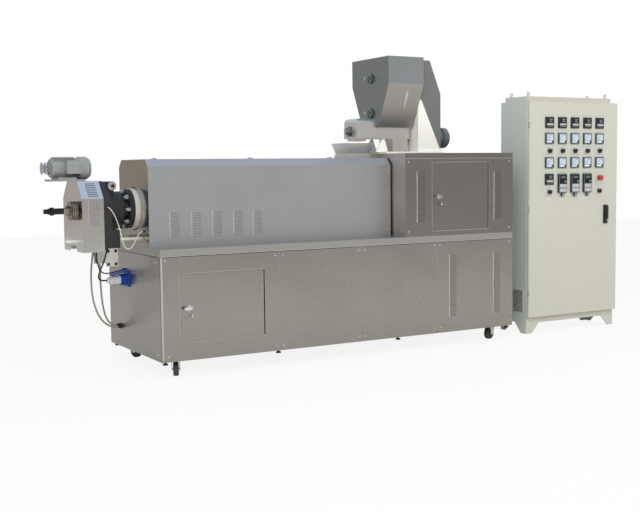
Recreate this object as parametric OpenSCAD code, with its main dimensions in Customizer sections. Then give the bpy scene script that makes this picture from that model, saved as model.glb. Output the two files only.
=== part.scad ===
// Snack food extruder with its control cabinet.
// X runs along the machine from the discharge end to the drive end, the front faces -Y, Z is up.
// Sub-parts are drawn in machine coordinates: X and Y start at the front corner of the base at the
// discharge end. machine() then moves them to the part's own origin, the middle of its footprint.

/* [Base cabinet] */
// Length of the base
base_length = 2662; // [2500:1:2900]
// Depth of the base, front to back
base_depth = 916; // [860:1:1000]
// Height of the base's top above the floor
deck_height = 765; // [730:1:850]
// Gap from the floor to the lower edge of the panels
base_clear = 97; // [92:1:104]
// Height of the folded rim of the deck
rim_height = 44; // [34:1:60]
// Thickness of the panels and the deck
sheet = 4; // [3:0.5:6]
// Joint left between neighbouring panels
panel_joint = 3; // [2:0.5:4]
// Side of the square frame posts
post = 50; // [40:1:60]
// Height of the frame's floor above the lower edge of the panels
floor_lift = 22; // [20:1:26]
// Place of the first panel joint along the base
seam_1 = 787; // [760:1:820]
// Place of the second panel joint
seam_2 = 1393; // [1340:1:1430]
// Place of the third panel joint
seam_3 = 1998; // [1950:1:2050]

/* [Doors] */
// Thickness of the base door and the housing door
door_t = 20; // [18:1:24]
// Running gap around every door
door_gap = 5; // [5:0.5:8]
// Base door: distance from the end of the base
base_door_x = 125; // [110:1:140]
// Base door: width
base_door_w = 556; // [480:1:570]
// Base door: height of its lower edge
base_door_z = 210; // [190:1:230]
// Base door: height
base_door_h = 404; // [340:1:420]
// Housing door: distance from the housing's corner
housing_door_x = 223; // [200:1:240]
// Housing door: width
housing_door_w = 481; // [420:1:490]
// Housing door: height of its lower edge above the deck
housing_door_z = 36; // [30:1:46]
// Housing door: height
housing_door_h = 458; // [400:1:465]
// Radius of the hinge pins
pin_r = 4; // [3:0.5:5]
// Reach of the door latches in front of the panels
latch_reach = 30; // [24:1:36]
// Radius of a latch's rose
latch_rose = 17; // [14:0.5:20]
// Length of a latch's lever
latch_lever = 36; // [30:1:38]
// Distance of the lock below a latch
latch_lock = 48; // [40:1:60]
// Distance of a latch from the free edge of its door
latch_inset = 48; // [40:1:60]

/* [Casters and feet] */
// Radius of the caster wheels
wheel_r = 42; // [38:1:44]
// Width of the caster wheels
wheel_w = 32; // [26:1:36]
// Trail of the wheel behind its swivel
trail = 28; // [24:1:30]
// Radius of the swivel stud
stud_r = 8; // [7:0.5:10]
// Radius of the wheel axle
axle_r = 6; // [5:0.5:8]
// Distance of the casters from the ends of the base
caster_x = 120; // [110:1:140]
// Distance of the casters from the front and the back
caster_y = 91; // [84:1:110]
// Distance of the outer levelling feet from the ends and the sides
foot_inset = 31; // [26:1:34]
// Radius of the levelling feet
foot_r = 16; // [12:1:18]

/* [Barrel and cover] */
// Distance of the cover's front from the base's front
cover_front = 162; // [150:1:180]
// Width of the cover
cover_width = 510; // [480:1:540]
// Height of the cover's upright sides
cover_side = 485; // [450:1:500]
// Size of the cover's sloping edges
cover_chamfer = 46; // [36:1:60]
// Height of the barrel's axis above the deck
axis_height = 231; // [220:1:240]
// Gap between the cover and the drive housing
cover_gap = 10; // [6:1:16]
// Radius of the opening in the cover's end
opening_r = 132; // [132:1:160]
// Radius of the barrel's end flange
ring_r = 125; // [115:1:130]
// Radius of the barrel behind its flange
barrel_r = 90; // [80:1:100]
// Reach of the barrel's flange in front of the cover
ring_reach = 32; // [20:1:35]
// Length of the barrel's flange
ring_length = 46; // [36:1:60]

/* [Die head] */
// Radius of the bolted flange
flange_r = 120; // [116:1:124]
// Thickness of the bolted flange
flange_t = 30; // [28:1:45]
// Radius of the neck between flange and head
neck_r = 76; // [70:1:82]
// Length of the neck
neck_length = 36; // [34:1:45]
// Radius of the head
head_r = 108; // [100:1:110]
// Length of the head
head_length = 97; // [90:1:110]
// Radius of the bolt circle
bolt_circle = 101; // [99:0.5:102]
// Radius over the corners of the flange nuts
nut_r = 17; // [14:0.5:18]

/* [Cutter] */
// Thickness of the cutter's mounting plate
mount_t = 58; // [50:1:70]
// Width of the mounting plate
mount_w = 334; // [320:1:350]
// Height of the mounting plate's lower edge above the deck
mount_low = 5; // [0:1:15]
// Height of the mounting plate
mount_h = 395; // [380:1:410]
// Length of the guard box
guard_length = 130; // [120:1:150]
// Width of the guard box
guard_width = 380; // [360:1:400]
// Height of the guard's upright sides
guard_side = 315; // [300:1:330]
// Width of the guard's flat top
guard_top = 200; // [180:1:220]
// Height of the guard's sloping part
guard_slope = 103; // [95:1:110]
// Drop of the guard's lower edge below the deck
guard_drop = 13; // [5:1:20]
// Thickness of the guard's sheet
guard_sheet = 3; // [2:0.5:4]
// Distance of the spindle in front of the barrel's axis
spindle_offset = 87; // [80:1:95]
// Radius of the spindle
spindle_r = 18; // [15:0.5:20]
// Length of the spindle in front of the guard
spindle_reach = 196; // [170:1:210]
// Radius of the spindle's grooved pulley
spindle_pulley_r = 58; // [50:1:64]
// Length of the spindle's grooved pulley
spindle_pulley_l = 42; // [36:1:50]
// Radius of the guide rods
rod_r = 10; // [8:0.5:12]
// Height of the guide rods above the deck
rod_height = 53; // [48:1:60]
// Distance between the guide rods
rod_spacing = 234; // [220:1:250]
// Reach of the front guide rod in front of the guard
rod_reach = 82; // [60:1:90]

/* [Cutter motor] */
// Radius of the motor's body
motor_r = 60; // [54:1:64]
// Length of the motor's body
motor_length = 160; // [150:1:180]
// Radius of the motor's fan cover
fan_r = 68; // [64:1:72]
// Length of the motor's fan cover
fan_length = 76; // [66:1:86]
// Height of the motor's axis above its slide plate
motor_axis = 65; // [62:1:70]
// Thickness of the slide plate
slide_t = 12; // [10:1:14]
// Overhang of the slide plate in front of the guard
slide_reach = 110; // [100:1:125]
// Radius of the motor's pulley
motor_pulley_r = 36; // [30:1:40]
// Radius of the motor's shaft
motor_shaft_r = 9; // [8:0.5:11]

/* [Leads and hoses] */
// Distance of the socket from the base's back
socket_inset = 341; // [320:1:360]
// Drop of the socket below the deck
socket_drop = 220; // [205:1:235]
// Radius of the socket's body
socket_r = 36; // [33:1:40]
// Reach of the socket's body
socket_reach = 48; // [42:1:56]
// Radius of the plug
plug_r = 27; // [24:0.5:29]
// Length of the plug in front of the socket
plug_reach = 86; // [76:1:96]
// Distance of the first hose's entry from the base's back
hose_inset = 204; // [190:1:220]
// Height of the first hose's entry above the lower edge of the panels
hose_lift = 128; // [110:1:140]
// Length of the fittings under the mounting plate
fitting_l = 12; // [10:1:16]

/* [Drive housing] */
// Length of the housing
housing_length = 922; // [880:1:960]
// Distance from the top of the housing door to the lid
housing_door_head = 29; // [20:1:45]
// Height of the lid
lid_height = 37; // [30:1:40]

/* [Feeder] */
// Distance of the hopper behind the housing's left wall
hopper_setback = -4; // [-10:1:0]
// Length of the hopper
hopper_length = 290; // [280:1:310]
// Width of the hopper at its top
hopper_width = 462; // [430:1:480]
// Width of the hopper at its foot
hopper_foot = 204; // [196:1:212]
// Height of the hopper's upright part
hopper_upright = 183; // [160:1:200]
// Height of the hopper's sloping part
hopper_slope = 293; // [280:1:310]
// Thickness of the hopper's and the trough's sheet
feeder_sheet = 4; // [3:0.5:5]
// Width of the trough
trough_width = 168; // [160:1:180]
// Height of the trough
trough_height = 75; // [70:1:80]
// Overhang of the trough in front of the hopper
trough_reach = 164; // [156:1:176]
// Height of the trough's underside above the housing
trough_lift = 105; // [100:1:115]
// Distance of the trough's outlet from its free end
outlet_inset = 12; // [8:1:20]
// Length of the trough's outlet
outlet_length = 80; // [70:1:90]
// Half the width of the trough's outlet
outlet_half = 48; // [44:1:49]
// Drop of the outlet's spout below the trough
outlet_drop = 16; // [12:1:18]
// Height of the arched cover over the trough
arch_height = 62; // [55:1:66]
// Rounding of the arched cover
arch_round = 28; // [22:1:32]
// Thickness of the pedestal's plates
pedestal_t = 8; // [6:1:10]
// Width of the leg under the trough
leg_width = 127; // [110:1:140]
// Distance of that leg behind the hopper's left face
leg_setback = 129; // [120:1:140]
// Length of the triangular wings under the trough
wing_length = 104; // [90:1:112]
// Thickness of the pedestal's base plate
pedestal_base = 14; // [10:1:16]
// Height of the pedestal's triangular supports
gusset_height = 359; // [330:1:380]
// Length of the pedestal's triangular supports along the machine
gusset_length = 195; // [180:1:205]
// Depth of the pedestal's triangular supports
gusset_depth = 150; // [130:1:156]
// Radius of the agitator shafts
shaft_r = 12; // [10:0.5:14]
// Radius of the feed screw's shaft
screw_r = 15; // [12:0.5:17]
// Radius of the feed screw's flight
flight_r = 40; // [36:1:42]
// Length of one turn of the feed screw's flight
flight_pitch = 64; // [56:1:80]
// Height of the upper agitator above the trough's rim
upper_shaft = 340; // [330:1:350]
// Height of the lower agitator above the trough's rim
lower_shaft = 103; // [98:1:110]
// Reach of the upper agitator's bars
upper_reach = 90; // [70:1:100]
// Reach of the lower agitator's bars
lower_reach = 56; // [46:1:60]
// Width of the drive guard's top
drive_top = 98; // [84:1:110]
// Length of the drive guard
drive_length = 191; // [180:1:200]
// Height of the drive guard
drive_height = 632; // [600:1:640]
// Height of the drive guard's upright part
drive_upright = 402; // [380:1:420]
// Depth of the drive guard
drive_depth = 310; // [290:1:316]
// Radius of the feeder motor
feeder_motor_r = 73; // [66:1:76]
// Length of the feeder motor
feeder_motor_l = 156; // [150:1:180]

/* [Intake funnel] */
// Distance of the funnel's mouth from the housing
funnel_gap = 44; // [40:1:60]
// Length of the funnel's mouth
funnel_length = 214; // [200:1:220]
// Width of the funnel's mouth
funnel_width = 212; // [200:1:220]
// Inward slope of the funnel's ends
funnel_taper_x = 17; // [14:1:24]
// Inward slope of the funnel's sides
funnel_taper_y = 27; // [20:1:34]
// Height of the funnel's sloping part
funnel_height = 70; // [60:1:72]
// Height of the funnel's neck
funnel_neck = 33; // [28:1:33]

/* [Control cabinet] */
// Gap between the base and the control cabinet
cabinet_gap = 209; // [190:1:260]
// Distance of the cabinet's body behind the base's front
cabinet_front = 91; // [85:1:110]
// Width of the control cabinet
cabinet_width = 874; // [840:1:900]
// Depth of the control cabinet's body
cabinet_depth = 285; // [270:1:320]
// Height of the control cabinet's body with its plinth
cabinet_height = 1700; // [1660:1:1760]
// Height of the plinth
plinth_height = 120; // [110:1:130]
// Height of the notch under the plinth
plinth_notch = 76; // [60:1:84]
// Width of the plinth's feet
plinth_foot = 55; // [45:1:70]
// Thickness of the cabinet's sheet
cabinet_sheet = 3; // [2:0.5:4]
// Thickness of the cabinet's door
cabinet_door_t = 25; // [22:1:30]
// Height of the cabinet's raised lid
cabinet_lid = 35; // [28:1:40]
// Inset of the cabinet's raised lid
cabinet_lid_inset = 22; // [18:1:30]
// Side of the square panel instruments
meter_size = 80; // [72:1:92]
// Spacing of the panel instruments
meter_pitch = 124.5; // [112:0.5:126]
// Distance of the first column of instruments from the hinge side
meter_inset = 187; // [170:1:200]
// Drop of the controllers below the cabinet's top
row_drop_1 = 155; // [130:1:180]
// Drop of the upper meters below the controllers
row_drop_2 = 115; // [100:1:125]
// Drop of the selectors below the upper meters
row_drop_3 = 92; // [80:1:100]
// Drop of the lower meters below the selectors
row_drop_4 = 85; // [78:1:95]
// Drop of the keypads below the lower meters
row_drop_5 = 121; // [112:1:130]
// Drop of the knobs below the keypads
row_drop_6 = 94; // [88:1:104]
// Radius of the selector knobs
knob_r = 15; // [12:0.5:17]
// Reach of the selector knobs
knob_reach = 22; // [18:1:26]
// Depth of the panel instruments in front of the door
meter_depth = 9; // [6:1:12]
// Height of the drive keypads
keypad_h = 140; // [120:1:150]
// Depth of the drive keypads in front of the door
keypad_depth = 15; // [10:1:18]
// Radius of the stop button
stop_r = 20; // [18:0.5:22]
// Radius of the lifting eyes
eye_r = 15; // [12:1:18]

/* [Hidden] */
$fn = 48;

// Running fit of pins and shafts in their bores, on the radius
fit = 0.06;
// Clearance of a rod or shaft in a plain hole of a sheet
hole_clear = 6;
// Small overshoot of a cut beyond the face it starts from
over = 1;

// Barrel axis and the chain of lengths at the discharge end, going towards -X
axis_y = cover_front + cover_width / 2;
axis_z = deck_height + axis_height;
cover_shoulder = deck_height + cover_side;
cover_top = cover_shoulder + cover_chamfer;
flange_x = -ring_reach;
neck_x = flange_x - flange_t;
head_x = neck_x - neck_length;
mount_x = head_x - head_length;
guard_x = mount_x - mount_t;
guard_face = guard_x - guard_length;
guard_z = deck_height - guard_drop;
guard_shoulder = guard_z + guard_side;
guard_crown = guard_shoulder + guard_slope;
spindle_y = axis_y - spindle_offset;
spindle_end = guard_face - spindle_reach;
mount_z = deck_height + mount_low;
rod_z = deck_height + rod_height;
// Doors are set 5 mm off the guard's face, and pulleys as well
pulley_gap = 5;

// Casters: heights of the swivel, from the base's floor down
floor_z = base_clear + floor_lift;
plate_t = 6;
race_r = 26;
race_gap = 0.4;
crown_t = 6;
crown_top = 2 * wheel_r + 17;
plate_z = floor_z - plate_t;
race_z = (plate_z + crown_top) / 2;
fork_leg = 4;
fork_gap = 5.5;
fork_half = wheel_w / 2 + fork_gap + fork_leg;
caster_places = [
  [caster_x, caster_y], [base_length - caster_x, caster_y],
  [caster_x, base_depth - caster_y], [base_length - caster_x, base_depth - caster_y]
];
// The way each caster has come to stand
caster_turn = [70, 20, 110, -35];

// Housing and feeder heights and places
housing_x = base_length - housing_length;
housing_height = housing_door_z + housing_door_h + housing_door_head + lid_height;
housing_top = deck_height + housing_height;
seat_z = housing_top + pedestal_base;
trough_z = housing_top + trough_lift;
rim_z = trough_z + trough_height;
hopper_x = housing_x + hopper_setback;
hopper_end = hopper_x + hopper_length;
hopper_knee = rim_z + hopper_slope;
hopper_top = hopper_knee + hopper_upright;
trough_x = hopper_x - trough_reach;
screw_z = rim_z - 25;
screw_wall = flight_r + 4;
flight_t = 5;
bearing_r = 27;
bearing_t = 30;
drive_x = hopper_end + pedestal_t;
gusset_front = axis_y - drive_depth / 2 - pedestal_t;
gusset_back = 2 * axis_y - gusset_front;

// Intake funnel
funnel_end = housing_x - funnel_gap;
funnel_x = funnel_end - funnel_length;
funnel_sheet = 3;

// Control cabinet
cabinet_x = base_length + cabinet_gap;
cabinet_end = cabinet_x + cabinet_width;
cabinet_back = cabinet_front + cabinet_depth;
cabinet_door_y = cabinet_front - door_gap - cabinet_door_t;
cabinet_door_z = plinth_height + 4;
meter_x = cabinet_x + meter_inset;
row_1 = cabinet_height - row_drop_1;
row_2 = row_1 - row_drop_2;
row_3 = row_2 - row_drop_3;
row_4 = row_3 - row_drop_4;
row_5 = row_4 - row_drop_5;
row_6 = row_5 - row_drop_6;

// The part's origin is the middle of its footprint
origin_x = (spindle_end + cabinet_end) / 2;
origin_y = (base_depth - latch_reach) / 2;

// Leads and hoses: where they leave the cutter and where they enter the base
clip_x = (guard_x + mount_x) / 2;
clip_y = axis_y - mount_w / 2;
clip_z = axis_z + spindle_r;
entry_y = clip_y;
entry_z = axis_z - ring_r - 9;
socket_y = base_depth - socket_inset;
socket_z = deck_height - socket_drop;
plug_x = -socket_reach - plug_reach;
cable_x = guard_x + 24;
cable_y = clip_y + 18;
cord_x = mount_x - 21;
cord_y = axis_y + 93;
cord_end_y = socket_y + 45;
cord_end_z = socket_z + 55;
hose_x = [guard_x + 16, mount_x + 14];
hose_y = [axis_y + 78, axis_y + 145];
hose_end_y = [base_depth - hose_inset, base_depth - hose_inset + 26];
hose_end_z = [base_clear + hose_lift, base_clear + hose_lift + 10];
fitting_z = mount_z - fitting_l;

// Routes of the hanging leads, in machine coordinates: points, each with the lead's pull there
white_route = [
  [[clip_x, clip_y - 6, clip_z], [0, -44, 0]],
  [[clip_x + 56, clip_y - 34, clip_z - 114], [22, 2, -74]],
  [[clip_x + 118, clip_y - 24, clip_z - 250], [40, 4, 0]],
  [[-8, entry_y, entry_z], [42, 0, 0]]
];
plug_route = [
  [[cable_x, cable_y, fitting_z], [-16, 26, -120]],
  [[plug_x, socket_y, socket_z], [104, 0, 0]]
];
cord_route = [
  [[cord_x, cord_y, fitting_z], [0, 0, -210]],
  [[-16, cord_end_y, cord_end_z], [110, 0, 14]]
];
hose_pull = [[-52, 10, -270], [8, 16, -280]];
hose_end_pull = [[150, 0, 0], [106, 0, 0]];
function hose_route(i) = [
  [[hose_x[i], hose_y[i], fitting_z], hose_pull[i]],
  [[-22, hose_end_y[i], hose_end_z[i]], hose_end_pull[i]]
];

// Basic forms

module machine() {
  translate([-origin_x, -origin_y, 0]) children();
}

// A box between two corners
module span(x0, x1, y0, y1, z0, z1) {
  translate([x0, y0, z0]) cube([x1 - x0, y1 - y0, z1 - z0]);
}

// Round bars along X, Y and Z
module bar_x(r, x0, x1, y, z) {
  translate([x0, y, z]) rotate([0, 90, 0]) cylinder(r = r, h = x1 - x0);
}

module bar_y(r, y0, y1, x, z) {
  translate([x, y1, z]) rotate([90, 0, 0]) cylinder(r = r, h = y1 - y0);
}

module bar_z(r, z0, z1, x, y) {
  translate([x, y, z0]) cylinder(r = r, h = z1 - z0);
}

// A hexagon nut with its axis along X
module nut_x(r, x0, x1, y, z) {
  translate([x0, y, z]) rotate([0, 90, 0]) cylinder(r = r, h = x1 - x0, $fn = 6);
}

// A profile of [y, z] points, drawn out along X
module profile_x(x0, x1, points) {
  translate([x0, 0, 0]) rotate([90, 0, 90]) linear_extrude(x1 - x0) polygon(points);
}

// A profile of [x, z] points, drawn out along Y
module profile_y(y0, y1, points) {
  translate([0, y1, 0]) rotate([90, 0, 0]) linear_extrude(y1 - y0) polygon(points);
}

// The front piece and its mirror image behind the barrel's axis
module both_sides() {
  children();
  translate([0, 2 * axis_y, 0]) mirror([0, 1, 0]) children();
}

// Outline of a hood with two sloping shoulders, drawn in by the sheet's thickness
function hood(y0, y1, z0, z1, run, rise, t) =
  let (lean = atan2(rise, run), a = t * tan(lean / 2), b = t * tan((90 - lean) / 2))
  [
    [y0 + t, z0], [y0 + t, z1 - rise - b + 0], [y0 + run + a, z1 - t],
    [y1 - run - a, z1 - t], [y1 - t, z1 - rise - b], [y1 - t, z0]
  ];

// Tube swept along a route: a ring of points square to the path at each place
function unit(v) = v / norm(v);
function heading(p, i) =
  unit(p[min(i + 1, len(p) - 1)] - p[max(i - 1, 0)]);
function side_of(d) = unit(abs(d[2]) < 0.9 ? cross(d, [0, 0, 1]) : cross(d, [0, 1, 0]));
function turn_side(s, d) = unit(s - d * (s * d));
function sides(ways, i) =
  i == 0 ? [side_of(ways[0])]
         : let (prev = sides(ways, i - 1)) concat(prev, [turn_side(prev[i - 1], ways[i])]);
// The axis nearest to a pull, so that the end of a lead lies flat on its fitting
function square_to(d) =
  let (most = max([for (v = d) abs(v)])) [for (v = d) abs(v) == most ? sign(v) : 0];
// Points on a smooth curve from knot to knot, each knot a point and the pull there
function hang(knots, n) = [
  for (i = [0 : len(knots) - 2], k = [0 : n - 1])
    let (
      t = k / n, a = knots[i][0], d = knots[i + 1][0],
      b = a + knots[i][1], c = d - knots[i + 1][1]
    )
    pow(1 - t, 3) * a + 3 * t * pow(1 - t, 2) * b + 3 * t * t * (1 - t) * c + pow(t, 3) * d,
  knots[len(knots) - 1][0]
];

module lead(route, r, n, steps) {
  path = hang(route, steps);
  last = len(path) - 1;
  ways = [
    square_to(route[0][1]),
    for (i = [1 : last - 1]) heading(path, i),
    square_to(route[len(route) - 1][1])
  ];
  left = sides(ways, last);
  rings = [
    for (i = [0 : last])
      let (u = left[i], v = cross(ways[i], u))
      for (k = [0 : n - 1]) path[i] + r * (cos(360 * k / n) * u + sin(360 * k / n) * v)
  ];
  polyhedron(
    points = rings,
    faces = concat(
      [[for (k = [0 : n - 1]) k]],
      [for (i = [0 : last - 1], k = [0 : n - 1])
        [i * n + k, (i + 1) * n + k, (i + 1) * n + (k + 1) % n, i * n + (k + 1) % n]],
      [[for (k = [n - 1 : -1 : 0]) last * n + k]]
    )
  );
}

// A door leaf from its own corner, hinged on the edge given by hinge_x.
// The hinge edge is rounded about the pins, with a notch at each lug.
lug_h = 28;
notch_h = lug_h + 2 * door_gap;
pin_depth = 16;

// Face of the leaf left in front of each notch, and the lug's arm behind the leaf
leaf_skin = 3;
lug_back = 25;
lug_long = 9;
lug_short = 3;

function lug_places(h) = [h * 0.16, h * 0.84];
module door_leaf(w, h, t, hinge_right, lugs) {
  axis_x = hinge_right ? w - t / 2 : t / 2;
  difference() {
    union() {
      span(hinge_right ? 0 : t / 2, hinge_right ? w - t / 2 : w, 0, t, 0, h);
      bar_z(t / 2, 0, h, axis_x, t / 2);
    }
    for (z = lugs) {
      span(
        axis_x - t / 2 - door_gap, axis_x + t / 2 + door_gap, leaf_skin, t + over,
        z - notch_h / 2, z + notch_h / 2
      );
      bar_z(pin_r + fit, z - notch_h / 2 - pin_depth - 2, z + notch_h / 2 + pin_depth + 2,
        axis_x, t / 2);
    }
  }
}

// The fixed lugs of a door, each with a pin that stands into the leaf above and below it.
// seat gives the lugs' range along X, measured from the door's corner, and reach along Y.
// Lugs with a round nose at the pins and an arm going back from it, held beside the doorway
module door_lugs(axis_x, t, lugs, long_side, back) {
  arm = long_side < 0 ? [-lug_long, lug_short] : [-lug_short, lug_long];
  for (z = lugs) {
    bar_z(pin_r, z - notch_h / 2 - pin_depth, z + notch_h / 2 + pin_depth, axis_x, t / 2);
    bar_z(pin_r + 1.5, z - lug_h / 2, z + lug_h / 2, axis_x, t / 2);
    span(axis_x + arm[0], axis_x + arm[1], t / 2, back, z - lug_h / 2, z + lug_h / 2);
  }
}

// Lugs of a door hinged on its right edge, with a foot on the back of the panel beside it
module panel_lugs(w, lugs) {
  axis_x = w - door_t / 2;
  door_lugs(axis_x, door_t, lugs, -1, lug_back);
  for (z = lugs) {
    span(axis_x - lug_long, axis_x + 40, lug_back - 4, lug_back, z - lug_h / 2, z + lug_h / 2);
    span(axis_x + 22, axis_x + 40, sheet - 1, lug_back, z - lug_h / 2, z + lug_h / 2);
  }
}

// A latch with a level lever and a key lock below it, on a face at y = 0
module latch() {
  bar_y(latch_rose, -6, 0, 0, 0);
  bar_y(latch_rose / 2, -latch_reach + 10, -6, 0, 0);
  span(-latch_lever, latch_rose * 0.8, -latch_reach, -latch_reach + 10, -7, 7);
  translate([latch_lock / 2, 0, -latch_lock]) bar_y(latch_rose * 0.6, -8, 0, 0, 0);
}

// Base

module base_floor() {
  color("#7c7a74") machine()
    span(sheet, base_length - sheet, sheet, base_depth - sheet, floor_z, floor_z + sheet);
}

// Two rows of posts carry the deck: at the corners and behind the panel joints
module base_posts() {
  x1 = base_length - sheet - post;
  color("#83807a") machine()
    for (x = [sheet, seam_1 - post / 2, seam_2 - post / 2, seam_3 - post / 2, x1])
      for (y = [sheet, base_depth - sheet - post])
        span(x, x + post, y, y + post, floor_z + sheet, deck_height - sheet);
}

module base_deck() {
  color("#a09c95") machine() difference() {
    span(0, base_length, 0, base_depth, deck_height - rim_height, deck_height);
    span(sheet, base_length - sheet, sheet, base_depth - sheet,
      deck_height - rim_height - over, deck_height - sheet);
  }
}

panel_low = base_clear;
panel_high = deck_height - rim_height - panel_joint;

// Front panel at the discharge end, with its doorway and the lugs of the door
module door_panel() {
  color("#918c85") machine() {
    difference() {
      span(0, seam_1 - panel_joint / 2, 0, sheet, panel_low, panel_high);
      span(base_door_x - door_gap, base_door_x + base_door_w + door_gap, -over, sheet + over,
        base_door_z - door_gap, base_door_z + base_door_h + door_gap);
    }
    translate([base_door_x, 0, base_door_z])
      panel_lugs(base_door_w, lug_places(base_door_h));
  }
}

// The other front panels, the back panels and the two ends
module base_panels() {
  cuts = [0, seam_1, seam_2, seam_3, base_length];
  half = panel_joint / 2;
  color("#918c85") machine() {
    for (i = [0 : 3], y = i == 0 ? [base_depth - sheet] : [0, base_depth - sheet])
      span(cuts[i] + (i == 0 ? 0 : half), cuts[i + 1] - (i == 3 ? 0 : half),
        y, y + sheet, panel_low, panel_high);
    for (x = [0, base_length - sheet])
      span(x, x + sheet, sheet + panel_joint, base_depth - sheet - panel_joint,
        panel_low, panel_high);
  }
}

module levelling_feet() {
  mid = (seam_2 + seam_3) / 2;
  color("#1c1c1c") machine()
    for (x = [foot_inset, seam_1, mid, base_length - foot_inset])
      for (y = [foot_inset, base_depth - foot_inset]) {
        bar_z(8, base_clear - 12, floor_z, x, y);
        bar_z(foot_r, base_clear - 20, base_clear - 12, x, y);
      }
}

// Fixed half of the casters: top plate, upper race, stud and its nut below the fork
module caster_plates() {
  color("#8d8f8f") machine()
    for (p = caster_places) {
      span(p[0] - 45, p[0] + 45, p[1] - 45, p[1] + 45, plate_z, floor_z);
      bar_z(race_r, race_z + race_gap / 2, plate_z, p[0], p[1]);
      bar_z(stud_r, crown_top - crown_t - 7, race_z + race_gap / 2, p[0], p[1]);
      translate([p[0], p[1], crown_top - crown_t - 7])
        cylinder(r = stud_r + 4, h = 7 - race_gap, $fn = 6);
    }
}

// Fork of one caster: crown with its race, two tapering legs and the axle
module caster_fork(i) {
  leg = [
    [-trail - 16, crown_top - crown_t], [18, crown_top - crown_t],
    [-trail + 13, wheel_r - 9], [-trail - 13, wheel_r - 9]
  ];
  p = caster_places[i];
  color("#a6a8a8") machine() translate([p[0], p[1], 0]) rotate(caster_turn[i]) {
    difference() {
      union() {
        span(-trail - 16, 30, -fork_half, fork_half, crown_top - crown_t, crown_top);
        bar_z(race_r, crown_top, race_z - race_gap / 2, 0, 0);
      }
      bar_z(stud_r + fit, crown_top - crown_t - over, race_z + over, 0, 0);
    }
    for (s = [-1, 1])
      profile_y(s * (fork_half - fork_leg / 2) - fork_leg / 2,
        s * (fork_half - fork_leg / 2) + fork_leg / 2, leg);
    bar_y(axle_r, -fork_half, fork_half, -trail, wheel_r);
  }
}

// Wheel with a rounded tread and a sunk web
module caster_wheel(i) {
  w = wheel_w / 2;
  p = caster_places[i];
  bore = axle_r + fit;
  outline = [
    [bore, -w], [bore + 8, -w], [bore + 10, -w + 6], [wheel_r - 12, -w + 6], [wheel_r - 9, -w],
    [wheel_r - 3, -w], [wheel_r, -w + 4], [wheel_r, w - 4], [wheel_r - 3, w], [wheel_r - 9, w],
    [wheel_r - 12, w - 6], [bore + 10, w - 6], [bore + 8, w], [bore, w]
  ];
  color("#2a2a2a") machine() translate([p[0], p[1], 0]) rotate(caster_turn[i])
    translate([-trail, 0, wheel_r]) rotate([90, 0, 0]) rotate_extrude() polygon(outline);
}

module base_door() {
  color("#948f88") machine() translate([base_door_x, 0, base_door_z])
    door_leaf(base_door_w, base_door_h, door_t, true, lug_places(base_door_h));
}

module base_door_latch() {
  color("#5a5a58") machine()
    translate([base_door_x + latch_inset, 0, base_door_z + base_door_h / 2]) latch();
}

// Barrel and its cover

module barrel_cover() {
  outer = hood(cover_front, cover_front + cover_width, deck_height, cover_top,
    cover_chamfer, cover_chamfer, 0);
  inner = hood(cover_front, cover_front + cover_width, deck_height - over, cover_top,
    cover_chamfer, cover_chamfer, sheet);
  t = funnel_sheet;
  color("#9c9c9a") machine() difference() {
    profile_x(0, housing_x - cover_gap, outer);
    profile_x(-over, housing_x + over, inner);
    span(funnel_x + funnel_taper_x + t, funnel_end - funnel_taper_x - t,
      axis_y - funnel_width / 2 + funnel_taper_y + t,
      axis_y + funnel_width / 2 - funnel_taper_y - t, cover_top - sheet - over, cover_top + over);
  }
}

module cover_end_plate() {
  inner = hood(cover_front, cover_front + cover_width, deck_height, cover_top,
    cover_chamfer, cover_chamfer, sheet);
  color("#8a8780") machine() difference() {
    profile_x(0, sheet, inner);
    bar_x(opening_r, -over, sheet + over, axis_y, axis_z);
  }
}

module barrel() {
  color("#b9b9b6") machine() {
    bar_x(ring_r, -ring_reach, ring_length - ring_reach, axis_y, axis_z);
    bar_x(barrel_r, ring_length - ring_reach, housing_x, axis_y, axis_z);
  }
}

// Die head: bolted flange, neck and head in one turned piece
module die_head() {
  color("#232323") machine() {
    bar_x(flange_r, neck_x, flange_x, axis_y, axis_z);
    bar_x(neck_r, head_x, neck_x, axis_y, axis_z);
    bar_x(head_r, mount_x, head_x, axis_y, axis_z);
  }
}

module head_bolts() {
  color("#b5b5b0") machine()
    for (k = [0 : 7]) {
      y = axis_y + bolt_circle * cos(45 * k);
      z = axis_z + bolt_circle * sin(45 * k);
      nut_x(nut_r, neck_x - 18, neck_x, y, z);
      bar_x(nut_r * 0.55, neck_x - 28, neck_x - 18, y, z);
    }
}

// Cutter

// Upright plate with a clamp block on the die head and a foot block below it
module cutter_mount() {
  y0 = axis_y - mount_w / 2;
  y1 = axis_y + mount_w / 2;
  z1 = mount_z + mount_h;
  foot_z = axis_z - head_r - 8;
  block = 86;
  shoulder = axis_z + 2 * spindle_r;
  shoulders = [
    [y0, mount_z], [y0, shoulder], [axis_y - block, z1], [axis_y + block, z1], [y1, shoulder],
    [y1, mount_z]
  ];
  color("#1e1e1e") machine() {
    difference() {
      union() {
        profile_x(guard_x, mount_x, shoulders);
        span(mount_x, mount_x + 45, y0, y1, mount_z, foot_z);
      }
      bar_x(spindle_r + fit, guard_x - over, mount_x + over, spindle_y, axis_z);
      for (s = [-1, 1])
        bar_x(rod_r + fit, guard_x - over, mount_x + 45 + over, axis_y + s * rod_spacing / 2, rod_z);
    }
    difference() {
      span(mount_x, mount_x + 40, axis_y - block, axis_y + block, axis_z + 60, z1);
      bar_x(head_r, mount_x - over, mount_x + 40 + over, axis_y, axis_z);
    }
    both_sides()
      bar_y(28, axis_y - block - 34, axis_y - block, mount_x + 18, z1 - 26);
  }
}

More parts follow.
